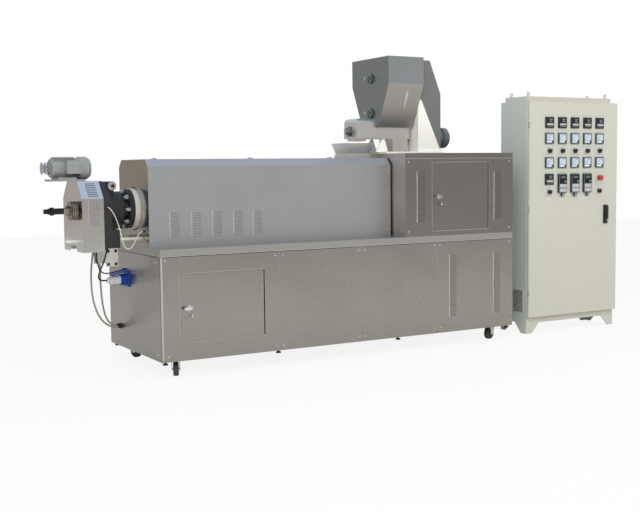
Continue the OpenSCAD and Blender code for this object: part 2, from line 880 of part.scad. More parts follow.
module mount_brackets() {
  y = axis_y - rod_spacing / 2;
  x0 = mount_x - 30;
  x1 = mount_x + 45;
  z0 = mount_z - 112;
  color("#8f8f8c") machine() both_sides() difference() {
    span(x0, x1, y - 3, y + 3, z0, mount_z);
    for (x = [x0 + 14, x1 - 14], z = [z0 + 14, mount_z - 20])
      bar_y(4.5, y - 3 - over, y + 3 + over, x, z);
  }
}

module guide_rods() {
  color("#c9c3ba") machine() for (s = [-1, 1]) {
    y = axis_y + s * rod_spacing / 2;
    bar_x(rod_r, guard_face - (s < 0 ? rod_reach : 4), 0, y, rod_z);
  }
}

// Sheet hood, closed at both ends and open below, with a cable notch in its outer face
module cutter_guard() {
  y0 = axis_y - guard_width / 2;
  y1 = axis_y + guard_width / 2;
  run = (guard_width - guard_top) / 2;
  notch = [
    [axis_y - 70, guard_z - over], [axis_y - 48, guard_z + 34], [axis_y + 62, guard_z + 34],
    [axis_y + 80, guard_z - over]
  ];
  color("#9c9d9d") machine() difference() {
    profile_x(guard_face, guard_x, hood(y0, y1, guard_z, guard_crown, run, guard_slope, 0));
    profile_x(guard_face + guard_sheet, guard_x - guard_sheet,
      hood(y0, y1, guard_z - over, guard_crown, run, guard_slope, guard_sheet));
    profile_x(guard_face - over, guard_face + guard_sheet + over, notch);
    bar_x(spindle_r + hole_clear, guard_face - over, guard_x + over, spindle_y, axis_z);
    for (s = [-1, 1])
      bar_x(rod_r + fit, guard_face - over, guard_x + over, axis_y + s * rod_spacing / 2, rod_z);
  }
}

// Outline of a pulley with V-grooves, as [radius, length] points from its axis
function grooved(r, l, n, depth) =
  let (p = l / n)
  concat(
    [[0, 0]],
    [for (i = [0 : n - 1], q = [[r, 0.1], [r, 0.2], [r - depth, 0.5], [r, 0.8], [r, 0.9]])
      [q[0], (i + q[1]) * p]],
    [[0, l]]
  );

module cutter_spindle() {
  pulley_1 = guard_face - pulley_gap;
  pulley_0 = pulley_1 - spindle_pulley_l;
  square = spindle_r * 1.3;
  color("#3a3938") machine() {
    difference() {
      bar_x(spindle_r, spindle_end, mount_x - 5, spindle_y, axis_z);
      for (a = [0 : 90 : 270])
        translate([spindle_end, spindle_y, axis_z]) rotate([a, 0, 0])
          span(-over, 24, square / 2 + 2, spindle_r + over, -spindle_r, spindle_r);
    }
    bar_x(spindle_r + 6, spindle_end + 37, spindle_end + 55, spindle_y, axis_z);
    nut_x(spindle_r + 10, pulley_0 - 22, pulley_0, spindle_y, axis_z);
    translate([pulley_0, spindle_y, axis_z]) rotate([0, 90, 0])
      rotate_extrude() polygon(grooved(spindle_pulley_r, spindle_pulley_l, 4, 8));
  }
}

// Cutter motor on its slide

slide_z = guard_crown + slide_t;
motor_z = slide_z + motor_axis;
motor_x = guard_face - slide_reach - 20;
motor_fan = motor_x + motor_length;

module motor_slide() {
  half = guard_top / 2 - 20;
  color("#6f726f") machine() both_sides()
    span(guard_face - slide_reach - 30, guard_x - 70, axis_y - half, axis_y - half + 60,
      guard_crown, slide_z);
}

module cutter_motor() {
  foot = guard_top / 2 - 24;
  box_x = motor_x + 74;
  color("#7f8480") machine() difference() {
    union() {
      translate([motor_x, axis_y, motor_z]) rotate([0, 90, 0]) rotate_extrude() polygon([
        [0, -12], [24, -12], [30, 0], [motor_r - 6, 0], [motor_r, 10],
        [motor_r, motor_length], [fan_r, motor_length + 6], [fan_r, motor_length + fan_length - 18],
        [fan_r - 14, motor_length + fan_length], [0, motor_length + fan_length]
      ]);
      span(motor_x + 30, motor_x + motor_length - 20, axis_y - foot, axis_y + foot,
        slide_z, slide_z + 10);
      span(motor_x + 30, motor_x + motor_length - 20, axis_y - 40, axis_y + 40,
        slide_z, motor_z - 30);
      span(box_x, box_x + 90, axis_y - motor_r - 32, axis_y - motor_r + 22,
        motor_z - 34, motor_z + 46);
    }
    bar_x(motor_shaft_r + fit, motor_x - 12 - over, motor_x + 40, axis_y, motor_z);
  }
}

module motor_pulley() {
  l = 32;
  x0 = motor_x - 12 - 8 - l;
  color("#b0aa9c") machine() {
    translate([x0, axis_y, motor_z]) rotate([0, 90, 0])
      rotate_extrude() polygon(grooved(motor_pulley_r, l, 1, 13));
    bar_x(motor_shaft_r, x0, motor_x + 36, axis_y, motor_z);
  }
}

// Electrical fittings on the discharge end

module socket_outlet() {
  half = socket_r + 9;
  lid_z = socket_z + half + 8;
  lid_tilt = 14;
  color("#1e48a8") machine() {
    difference() {
      union() {
        span(-10, 0, socket_y - half, socket_y + half, socket_z - half, socket_z + half);
        bar_x(socket_r, -socket_reach, -10, socket_y, socket_z);
        span(-16, 0, cord_end_y - 12, cord_end_y + 12, socket_z + half - 2, cord_end_z + 12);
        span(-16, 0, socket_y - socket_r, socket_y + 16, socket_z + half - 2, lid_z + 6);
      }
      bar_x(plug_r + fit, -socket_reach - over, -6, socket_y, socket_z);
    }
    translate([-14, socket_y - socket_r, lid_z]) rotate([0, -lid_tilt, 0])
      translate([-socket_reach * 2.1, 0, 0]) cube([socket_reach * 2.1, socket_r + 16, 6]);
  }
}

module power_plug() {
  color("#e6e4dc") machine() {
    bar_x(plug_r, plug_x + 30, -6, socket_y, socket_z);
    bar_x(plug_r * 0.75, plug_x + 8, plug_x + 30, socket_y, socket_z);
    bar_x(plug_r * 0.4, plug_x, plug_x + 8, socket_y, socket_z);
  }
}

module cable_glands() {
  color("#202020") machine() {
    for (i = [0, 1]) {
      bar_x(8, -22, 0, hose_end_y[i], hose_end_z[i]);
      nut_x(11, -8, 0, hose_end_y[i], hose_end_z[i]);
      bar_z(10, fitting_z, mount_z, hose_x[i], hose_y[i]);
    }
    bar_y(7, clip_y - 6, clip_y, clip_x, clip_z);
    bar_x(7, -8, 0, entry_y, entry_z);
    bar_z(9, fitting_z, mount_z, cable_x, cable_y);
    bar_z(8, fitting_z, mount_z, cord_x, cord_y);
  }
}

module white_lead() {
  color("#e8e4d8") machine() lead(white_route, 2.5, 8, 8);
}

module plug_cable() {
  color("#1b1b1b") machine() lead(plug_route, 5, 8, 20);
}

module socket_cable() {
  color("#1b1b1b") machine() lead(cord_route, 4, 8, 20);
}

module grey_hoses() {
  color("#a79c8e") machine() for (i = [0, 1]) lead(hose_route(i), 6, 10, 22);
}

// Drive housing

housing_eave = housing_top - lid_height;
housing_door_x0 = housing_x + housing_door_x;
housing_door_z0 = deck_height + housing_door_z;

module housing_walls() {
  x0 = housing_x;
  x1 = base_length;
  color("#77746f") machine() {
    difference() {
      span(x0, x1, 0, base_depth, deck_height, housing_eave);
      span(x0 + sheet, x1 - sheet, sheet, base_depth - sheet, deck_height - over,
        housing_eave + over);
      span(housing_door_x0 - door_gap, housing_door_x0 + housing_door_w + door_gap,
        -over, sheet + over,
        housing_door_z0 - door_gap, housing_door_z0 + housing_door_h + door_gap);
    }
    translate([housing_door_x0, 0, housing_door_z0])
      panel_lugs(housing_door_w, lug_places(housing_door_h));
  }
}

module housing_lid() {
  color("#7c7974") machine() difference() {
    span(housing_x, base_length, 0, base_depth, housing_eave, housing_top);
    span(housing_x + sheet, base_length - sheet, sheet, base_depth - sheet,
      housing_eave - over, housing_top - sheet);
  }
}

module housing_door() {
  color("#6a6865") machine() translate([housing_door_x0, 0, housing_door_z0])
    door_leaf(housing_door_w, housing_door_h, door_t, true, lug_places(housing_door_h));
}

module housing_door_latch() {
  color("#5a5a58") machine()
    translate([housing_door_x0 + latch_inset, 0, housing_door_z0 + housing_door_h / 2]) latch();
}

// Feeder

// Base plate, a leg and two wings under the trough and four triangular supports
module feeder_pedestal() {
  x0 = housing_x + pedestal_t;
  x1 = drive_x + drive_length;
  leg_0 = hopper_x + leg_setback;
  wing_1 = leg_0 - leg_width / 4;
  wing_0 = wing_1 - wing_length;
  wing_y = axis_y - trough_width / 2 + pedestal_t;
  top = seat_z + gusset_height;
  color("#ece8dc") machine() {
    span(x0, x1, gusset_front - 20, gusset_back + 20, housing_top, seat_z);
    both_sides() {
      profile_y(wing_y, wing_y + pedestal_t, [
        [wing_0, seat_z], [wing_1, seat_z], [wing_1 - wing_length * 0.3, trough_z],
        [wing_1 - wing_length * 0.45, trough_z]
      ]);
      profile_y(gusset_front, gusset_front + pedestal_t, [
        [hopper_end, seat_z], [hopper_end + gusset_length, seat_z], [hopper_end + 28, top],
        [hopper_end, top]
      ]);
      profile_x(hopper_end, hopper_end + pedestal_t, [
        [gusset_front, seat_z], [gusset_front + gusset_depth, seat_z], [gusset_front + 14, top],
        [gusset_front, top]
      ]);
    }
  }
}

// Trough with a round bottom inside, a flange for the hopper and an outlet at its free end
module feeder_trough() {
  y0 = axis_y - trough_width / 2;
  y1 = axis_y + trough_width / 2;
  t = feeder_sheet;
  leg_0 = hopper_x + leg_setback;
  outlet_0 = trough_x + outlet_inset;
  outlet_1 = outlet_0 + outlet_length;
  color("#9b9893") machine() difference() {
    union() {
      span(trough_x, hopper_end, y0, y1, trough_z, rim_z);
      difference() {
        span(leg_0, leg_0 + leg_width, y0, y1, seat_z, trough_z + 1);
        span(leg_0 + t, leg_0 + leg_width - t, y0 + t, y1 + over, seat_z - over, trough_z - t);
      }
      span(hopper_x, hopper_end, axis_y - hopper_foot / 2, axis_y + hopper_foot / 2,
        rim_z - t, rim_z);
      span(outlet_0 - t, outlet_1 + t, axis_y - outlet_half - t, axis_y + outlet_half + t,
        trough_z - outlet_drop, trough_z);
    }
    bar_x(screw_wall, trough_x + t, hopper_end - t, axis_y, screw_z);
    span(trough_x + t, hopper_end - t, axis_y - screw_wall, axis_y + screw_wall, screw_z, rim_z + over);
    span(outlet_0, outlet_1, axis_y - outlet_half, axis_y + outlet_half,
      trough_z - outlet_drop - over, screw_z - 20);
    bar_x(screw_r + fit, trough_x - over, hopper_end + over, axis_y, screw_z);
  }
}

// Loaf-shaped sheet cover: rounded across the trough and along it
module loaf(x0, x1, half, h, r, low) {
  intersection() {
    translate([x0, 0, 0]) rotate([90, 0, 90]) linear_extrude(x1 - x0) translate([axis_y, rim_z]) {
      translate([-half, -low]) square([2 * half, h - r + low]);
      translate([-half + r, -low]) square([2 * (half - r), h + low]);
      for (s = [-1, 1]) translate([s * (half - r), h - r]) circle(r);
    }
    translate([0, axis_y + half, 0]) rotate([90, 0, 0]) linear_extrude(2 * half)
      translate([x0, rim_z]) {
        translate([0, -low]) square([x1 - x0, h - r + low]);
        translate([r, -low]) square([x1 - x0 - r, h + low]);
        translate([r, h - r]) circle(r);
      }
  }
}

module trough_cover() {
  t = 3;
  half = trough_width / 2 - 6;
  color("#a5a29d") machine() difference() {
    loaf(trough_x, hopper_x, half, arch_height, arch_round, 0);
    loaf(trough_x + t, hopper_x + over, half - t, arch_height - t, arch_round - t, over);
  }
}

// Hopper walls as [y, z] points: upright above, sloping to the trough below
function hopper_outline(t, low, high) =
  let (a = hopper_width / 2 - t, b = hopper_foot / 2 - t)
  [
    [axis_y - b, rim_z - low], [axis_y - b, rim_z], [axis_y - a, hopper_knee],
    [axis_y - a, hopper_top + high], [axis_y + a, hopper_top + high], [axis_y + a, hopper_knee],
    [axis_y + b, rim_z], [axis_y + b, rim_z - low]
  ];

module hopper() {
  t = feeder_sheet;
  outer = hopper_outline(0, 0, 0);
  color("#848682") machine() difference() {
    profile_x(hopper_x, hopper_end, [for (i = [1 : 6]) outer[i]]);
    profile_x(hopper_x + t, hopper_end - t, hopper_outline(t, over, over));
    bar_x(screw_wall, hopper_x - over, hopper_x + t + over, axis_y, screw_z);
    for (z = [upper_shaft, lower_shaft])
      bar_x(shaft_r + fit, hopper_x - over, hopper_end + over, axis_y, rim_z + z);
  }
}

// Flanged bearings: three at the free end, two on the drive side of the hopper
module shaft_bearings() {
  color("#8b8d8b") machine() difference() {
    union() {
      for (z = [upper_shaft, lower_shaft]) {
        bar_x(bearing_r, hopper_x - bearing_t, hopper_x, axis_y, rim_z + z);
        bar_x(bearing_r, hopper_end, drive_x, axis_y, rim_z + z);
      }
      bar_x(bearing_r + 8, trough_x - 10, trough_x, axis_y, screw_z);
      bar_x(bearing_r, trough_x - bearing_t, trough_x - 10, axis_y, screw_z);
    }
    for (z = [upper_shaft, lower_shaft])
      bar_x(shaft_r + fit, hopper_x - bearing_t - over, drive_x + over, axis_y, rim_z + z);
    bar_x(screw_r + fit, trough_x - bearing_t - over, trough_x + over, axis_y, screw_z);
  }
}

// Agitator: a shaft with a nut at its free end and cross bars in the hopper
module agitator(z, reach) {
  x1 = drive_x - 1;
  color("#b4b4b0") machine() {
    bar_x(shaft_r, hopper_x - bearing_t - 14, x1, axis_y, rim_z + z);
    for (k = [0 : 2])
      translate([hopper_x + hopper_length * (0.2 + 0.3 * k), axis_y, rim_z + z])
        rotate([k * 60, 0, 0]) translate([0, 0, -reach]) cylinder(r = 7, h = 2 * reach);
  }
}

module agitator_upper() {
  agitator(upper_shaft, upper_reach);
}

module agitator_lower() {
  agitator(lower_shaft, lower_reach);
}

// Half disc of the flight, tilted one way at the front and the other way at the back
module half_flight(x, side) {
  tilt = side * atan(flight_pitch / (4 * flight_r));
  reach = flight_r + over;
  translate([x, axis_y, screw_z]) intersection() {
    rotate([0, 90 - tilt, 0]) cylinder(r = flight_r, h = flight_t, center = true);
    span(-flight_pitch, flight_pitch, side > 0 ? -flight_t / 2 : -reach,
      side > 0 ? reach : flight_t / 2, -reach, reach);
  }
}

module feed_screw() {
  x0 = trough_x + 22;
  turns = floor((hopper_end - x0 - 22) / flight_pitch);
  color("#b4b4b0") machine() {
    bar_x(screw_r, trough_x - bearing_t - 12, hopper_end - 1, axis_y, screw_z);
    for (k = [0 : turns - 1]) {
      half_flight(x0 + (k + 0.25) * flight_pitch, -1);
      half_flight(x0 + (k + 0.75) * flight_pitch, 1);
    }
  }
}

module drive_guard() {
  x1 = drive_x + drive_length;
  color("#717171") machine()
    profile_y(axis_y - drive_depth / 2, axis_y + drive_depth / 2, [
      [drive_x, seat_z], [x1, seat_z], [x1, seat_z + drive_upright],
      [drive_x + drive_top, seat_z + drive_height], [drive_x, seat_z + drive_height]
    ]);
}

module feeder_motor() {
  x0 = drive_x + drive_length;
  r = feeder_motor_r;
  l = feeder_motor_l;
  color("#76797a") machine() translate([x0, axis_y, seat_z + 101]) rotate([0, 90, 0])
    rotate_extrude() polygon([
      [0, 0], [r - 12, 0], [r - 12, l * 0.6], [r, l * 0.66], [r, l - 14], [r - 14, l], [0, l]
    ]);
}

// Four sloping walls with a square neck
module intake_funnel() {
  z0 = cover_top + funnel_neck;
  z1 = z0 + funnel_height;
  y0 = axis_y - funnel_width / 2;
  y1 = axis_y + funnel_width / 2;
  tx = funnel_taper_x;
  ty = funnel_taper_y;
  t = funnel_sheet;
  color("#85878a") machine() difference() {
    union() {
      hull() {
        span(funnel_x, funnel_end, y0, y1, z1 - 1, z1);
        span(funnel_x + tx, funnel_end - tx, y0 + ty, y1 - ty, z0, z0 + 1);
      }
      span(funnel_x + tx, funnel_end - tx, y0 + ty, y1 - ty, cover_top, z0 + 1);
    }
    hull() {
      span(funnel_x + t, funnel_end - t, y0 + t, y1 - t, z1, z1 + 1);
      span(funnel_x + tx + t, funnel_end - tx - t, y0 + ty + t, y1 - ty - t, z0, z0 + 1);
    }
    span(funnel_x + tx + t, funnel_end - tx - t, y0 + ty + t, y1 - ty - t, cover_top - over, z0 + 1);
  }
}

// Control cabinet

cabinet_lugs = [180, 790, 1400];
cabinet_door_h = cabinet_height - 3 - cabinet_door_z;

module cabinet_shell() {
  lug_root = cabinet_door_t + door_gap + 2;
  t = cabinet_sheet;
  color("#b9bab2") machine() {
    difference() {
      span(cabinet_x, cabinet_end, cabinet_front, cabinet_back, plinth_height, cabinet_height);
      span(cabinet_x + t, cabinet_end - t, cabinet_front - over, cabinet_back - t,
        plinth_height + t, cabinet_height - t);
    }
    translate([cabinet_x, cabinet_door_y, cabinet_door_z]) {
      door_lugs(cabinet_door_t / 2, cabinet_door_t, cabinet_lugs, 1, lug_root + 10);
      for (z = cabinet_lugs)
        span(cabinet_sheet - 1, cabinet_door_t / 2 + lug_long, lug_root, lug_root + 10,
          z - lug_h / 2, z + lug_h / 2);
    }
  }
}

// One side of the plinth: two feet with sloping shoulders under a rail
function plinth_side(a, b) = [
  [a, 0], [a + plinth_foot, 0], [a + plinth_foot + 70, plinth_notch],
  [b - plinth_foot - 70, plinth_notch], [b - plinth_foot, 0], [b, 0], [b, plinth_height],
  [a, plinth_height]
];

module cabinet_plinth() {
  t = cabinet_sheet;
  color("#a9a89d") machine() {
    for (y = [cabinet_front, cabinet_back - t])
      profile_y(y, y + t, plinth_side(cabinet_x, cabinet_end));
    for (x = [cabinet_x, cabinet_end - t])
      profile_x(x, x + t, plinth_side(cabinet_front, cabinet_back));
  }
}

module cabinet_lid_plate() {
  d = cabinet_lid_inset;
  t = cabinet_sheet;
  z = cabinet_height + cabinet_lid;
  color("#c4c4b8") machine() {
    difference() {
      span(cabinet_x + d, cabinet_end - d, cabinet_front + d, cabinet_back - d, cabinet_height, z);
      span(cabinet_x + d + t, cabinet_end - d - t, cabinet_front + d + t, cabinet_back - d - t,
        cabinet_height - over, z - t);
    }
    for (x = [cabinet_x + 55, cabinet_end - 55], y = [cabinet_front + 50, cabinet_back - 50])
      translate([x, y, z]) {
        cylinder(r = 9, h = 5);
        translate([0, 0, 5 + eye_r]) rotate([90, 0, 0])
          rotate_extrude() translate([eye_r - 4, 0]) circle(4.5);
      }
  }
}

module cabinet_door() {
  color("#cccbbe") machine() translate([cabinet_x, cabinet_door_y, cabinet_door_z])
    door_leaf(cabinet_width, cabinet_door_h, cabinet_door_t, false, cabinet_lugs);
}

// A box standing on the cabinet door around a middle point
module on_door(x, z, w, h, depth) {
  span(x - w / 2, x + w / 2, cabinet_door_y - depth, cabinet_door_y, z - h / 2, z + h / 2);
}

// Five controllers, ten dial meters, one more controller and three drive keypads
module panel_instruments() {
  color("#3b3d40") machine() {
    for (k = [0 : 4], z = [row_1, row_2, row_4])
      on_door(meter_x + k * meter_pitch, z, meter_size, meter_size, meter_depth);
    on_door(meter_x, row_5, meter_size, meter_size, meter_depth);
    for (k = [1 : 3])
      on_door(
        meter_x + k * meter_pitch, row_5 - (keypad_h - meter_size) / 2 - 1,
        meter_size, keypad_h, keypad_depth
      );
  }
}

// Selector switches and speed knobs
module door_knobs() {
  y = cabinet_door_y;
  color("#222222") machine() {
    for (k = [0 : 4]) bar_y(knob_r, y - knob_reach, y, meter_x + k * meter_pitch, row_3);
    for (k = [0, 4]) bar_y(knob_r, y - knob_reach, y, meter_x + k * meter_pitch, row_6);
    for (k = [1 : 3])
      bar_y(knob_r * 0.85, y - knob_reach * 0.8, y, meter_x + k * meter_pitch, row_6 - meter_size * 0.3);
  }
}

module emergency_stop() {
  x = meter_x + 4 * meter_pitch;
  y = cabinet_door_y;
  z = row_5 + meter_depth / 2;
  color("#b3222a") machine() {
    bar_y(stop_r * 0.6, y - stop_r, y, x, z);
    bar_y(stop_r, y - stop_r * 1.6, y - stop_r, x, z);
  }
}

module cabinet_handle() {
  x = cabinet_end - 118;
  z = cabinet_height - 840;
  color("#262626") machine() {
    on_door(x, z, 40, 140, 8);
    translate([0, -8, 0]) on_door(x, z + 12, 24, 100, 14);
  }
}

base_floor();
base_posts();
base_deck();
door_panel();
base_panels();
levelling_feet();
caster_plates();
caster_fork(0);  // caster_fork_1
caster_fork(1);  // caster_fork_2
caster_fork(2);  // caster_fork_3
caster_fork(3);  // caster_fork_4
caster_wheel(0);  // caster_wheel_1
caster_wheel(1);  // caster_wheel_2
caster_wheel(2);  // caster_wheel_3
caster_wheel(3);  // caster_wheel_4
base_door();
base_door_latch();
barrel_cover();
cover_end_plate();
barrel();
die_head();
head_bolts();
cutter_mount();
mount_brackets();
guide_rods();
cutter_guard();
cutter_spindle();
cutter_motor();
motor_slide();
motor_pulley();
socket_outlet();
power_plug();
cable_glands();
white_lead();
plug_cable();
socket_cable();
grey_hoses();
housing_walls();
housing_lid();
housing_door();
housing_door_latch();
feeder_pedestal();
feeder_trough();
trough_cover();
hopper();
shaft_bearings();
agitator_upper();
agitator_lower();
feed_screw();
drive_guard();
feeder_motor();
intake_funnel();
cabinet_shell();
cabinet_plinth();
cabinet_lid_plate();
cabinet_door();
cabinet_handle();
panel_instruments();
door_knobs();
emergency_stop();
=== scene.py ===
import math

import bmesh
import bpy
from bpy.props import FloatProperty, FloatVectorProperty, IntProperty, PointerProperty
from mathutils import Matrix, Vector


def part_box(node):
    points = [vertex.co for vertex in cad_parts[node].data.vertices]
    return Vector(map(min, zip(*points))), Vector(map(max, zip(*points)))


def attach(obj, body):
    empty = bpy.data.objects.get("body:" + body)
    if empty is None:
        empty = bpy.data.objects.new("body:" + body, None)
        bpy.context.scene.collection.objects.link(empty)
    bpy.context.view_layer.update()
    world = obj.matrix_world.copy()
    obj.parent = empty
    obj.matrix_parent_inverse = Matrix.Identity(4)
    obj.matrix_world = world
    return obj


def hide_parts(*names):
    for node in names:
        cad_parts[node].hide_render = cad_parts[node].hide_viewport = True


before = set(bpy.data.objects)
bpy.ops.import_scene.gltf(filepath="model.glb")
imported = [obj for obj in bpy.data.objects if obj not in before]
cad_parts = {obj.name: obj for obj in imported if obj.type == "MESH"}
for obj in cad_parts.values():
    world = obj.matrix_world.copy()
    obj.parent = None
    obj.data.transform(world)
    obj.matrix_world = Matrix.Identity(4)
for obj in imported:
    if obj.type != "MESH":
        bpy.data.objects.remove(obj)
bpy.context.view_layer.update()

bl_info = {
    "name": "Snack Food Extruder",
    "version": (1, 0, 0),
    "blender": (4, 5, 0),
    "location": "3D View > Sidebar > Extruder",
    "description": "Finishes, fittings and leads of a snack food extruder and its control cabinet",
    "category": "Object",
}

# Places below are in millimetres from the front left corner of the machine's deck.
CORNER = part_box("base_deck")[0]
BASE_LONG, BASE_DEEP = 2662, 916
COVER_FRONT, COVER_BACK = 162, 672
HOUSING_LEFT = 1740
HOPPER_LEFT = 1736
AXIS_Y, AXIS_Z = 417, 996  # the barrel's axis; the feeder stands over it
MOTOR_Z = 1247  # the cutter motor's axis, straight above the barrel's
MOUNT_FRONT, MOUNT_BACK = AXIS_Y - 120, AXIS_Y + 120
CABINET_LEFT, CABINET_RIGHT = 2871, 3745
DOOR_Y = 61  # front of the cabinet's door
METER_X = [3058 + 124.5 * k for k in range(5)]

# The camera looks as the photograph does: its heading, rise and roll in degrees, and its place
LOOK = (30.0256, -4.7869, -0.6585)
STAND = (-2199.273, -5672.289, 1223.259)


def linear(code):
    """Linear colour of an sRGB hex value."""
    parts = [int(code[i:i + 2], 16) / 255 for i in (1, 3, 5)]
    return tuple(c / 12.92 if c <= 0.04045 else ((c + 0.055) / 1.055) ** 2.4 for c in parts)


def colour(name, description, code):
    return FloatVectorProperty(
        name=name, description=description, subtype="COLOR", size=3, min=0, max=1,
        default=linear(code),
    )


def length(name, description, millimetres):
    return FloatProperty(
        name=name, description=description, default=millimetres / 1000, min=0.0001,
        subtype="DISTANCE", unit="LENGTH",
    )


def power(name, description, watts):
    return FloatProperty(
        name=name, description=description, default=watts, min=0, unit="POWER",
    )


class ExtruderColours(bpy.types.PropertyGroup):
    """Colours of the sheets, paints and mouldings."""

    panel: colour("Base panels", "Rolled stainless of the base", "#A5A19A")
    cover: colour("Barrel cover", "Blasted stainless of the barrel cover", "#A9A9AA")
    housing: colour("Drive housing", "Dark rolled stainless of the drive housing", "#918D88")
    guard: colour("Cutter guard", "Polished stainless of the cutter's guard", "#D2D1CF")
    hopper: colour("Hopper", "Ground stainless of the hopper", "#B9BEC0")
    trough: colour("Trough", "Bright ground stainless of the trough and funnel", "#E4E2DE")
    zinc: colour("Zinc", "Bright zinc plating on small steel parts", "#C9CBCB")
    iron: colour("Blackened iron", "Blackened die head and mounting plate", "#2B2A2A")
    motor: colour("Cutter motor", "Enamel on the cutter's motor", "#929593")
    drive: colour("Feeder drive guard", "Paint on the feeder's drive guard", "#717171")
    cream: colour("Pedestal", "Cream enamel on the feeder's pedestal", "#FBF9F0")
    beige: colour("Control cabinet", "Powder coat on the control cabinet", "#CAC9BD")
    socket: colour("Socket", "Blue moulding of the mains socket", "#1E48A8")
    plug: colour("Plug", "White moulding of the plug", "#FDFDFC")
    stop: colour("Stop button", "Red moulding of the stop button", "#C8343A")
    hose: colour("Hoses", "Flexible grey hoses", "#B3ADA2")


class ExtruderSizes(bpy.types.PropertyGroup):
    """Sizes of the small fittings and leads."""

    louvre_proud: length("Louvre depth", "How far a louvre stands out of its sheet", 4)
    louvre_rise: length("Louvre rise", "Height of a louvre's hood above its slit", 6)
    screw_radius: length("Screw head", "Radius of the sheet screws' heads", 7)
    bolt_radius: length("Bolt head", "Corner radius of the hexagon bolts", 9)
    white_lead: length("White lead", "Diameter of the thin white lead", 5)
    plug_cable: length("Plug cable", "Diameter of the cable with the plug", 10)
    socket_cable: length("Socket cable", "Diameter of the cable to the socket", 8)
    hose: length("Hoses", "Diameter of the grey hoses", 12)
    motor_fins: IntProperty(
        name="Motor fins", description="Cooling fins round the cutter's motor", default=40,
        min=12, max=60,
    )


class ExtruderStage(bpy.types.PropertyGroup):
    """Floor, light and camera."""

    floor: length("Floor", "Half the width of the floor", 14000)
    key: power("Key light", "Power of the large soft lamp", 142)
    fill: power("Fill light", "Power of the second soft lamp", 75)
    surround: FloatProperty(
        name="Surround", description="Strength of the plain light from all sides", default=0.62,
        min=0, subtype="FACTOR",
    )
    lens: FloatProperty(
        name="Lens", description="Focal length on a 36 mm wide sensor", default=58.18, min=10,
        unit="CAMERA",
    )


# Places

FACING = {
    "front": ((1, 0, 0), (0, 0, -1), (0, 1, 0)),
    "back": ((-1, 0, 0), (0, 0, 1), (0, 1, 0)),
    "left": ((0, 0, -1), (-1, 0, 0), (0, 1, 0)),
    "right": ((0, 0, 1), (1, 0, 0), (0, 1, 0)),
    "top": ((1, 0, 0), (0, 1, 0), (0, 0, 1)),
}


def at(x, y, z):
    """A point of the machine, given in millimetres, in the row frame."""
    return Vector((CORNER.x + x / 1000, CORNER.y + y / 1000, z / 1000))


METRES = Matrix.Scale(0.001, 4)  # from a drawing's millimetres


def shift(x, y, z):
    """A step along a drawing's own axes."""
    return Matrix.Translation((x, y, z))


def turn(degrees, axis="Z"):
    """A turn about one of a drawing's own axes."""
    return Matrix.Rotation(math.radians(degrees), 4, axis)


def seat(x, y, z, facing="front", tilt=0, roll=0):
    """Puts a shape drawn in millimetres on a face: its X runs along the face, Y up and Z out.

    tilt leans it back about its own X, and roll turns it about its own Z, in degrees.
    """
    face = Matrix(FACING[facing]).to_4x4()
    return Matrix.Translation(at(x, y, z)) @ face @ turn(-tilt, "X") @ turn(roll) @ METRES


# Shapes, drawn in millimetres

def lathe(profile, steps=20):
    """A turned shape: (radius, height) points spun about Z."""
    bm = bmesh.new()
    verts = [bm.verts.new((r, 0, h)) for r, h in profile]
    edges = [bm.edges.new(pair) for pair in zip(verts, verts[1:])]
    bmesh.ops.spin(
        bm, geom=verts + edges, cent=(0, 0, 0), axis=(0, 0, 1), angle=2 * math.pi,
        steps=steps, use_merge=True,
    )
    bmesh.ops.remove_doubles(bm, verts=bm.verts[:], dist=0.001)
    bmesh.ops.recalc_face_normals(bm, faces=bm.faces[:])
    return bm


def block(width, height, depth, soft=1.0, segments=2):
    """A block standing out of a face, with its edges rounded."""
    bm = bmesh.new()
    bmesh.ops.create_cube(bm, size=1)
    bmesh.ops.scale(bm, vec=(width, height, depth), verts=bm.verts[:])
    bmesh.ops.translate(bm, vec=(0, 0, depth / 2), verts=bm.verts[:])
    bmesh.ops.bevel(
        bm, geom=bm.edges[:], offset=soft, segments=segments, profile=0.5, affect="EDGES",
        material=-1, clamp_overlap=True,
    )
    return bm


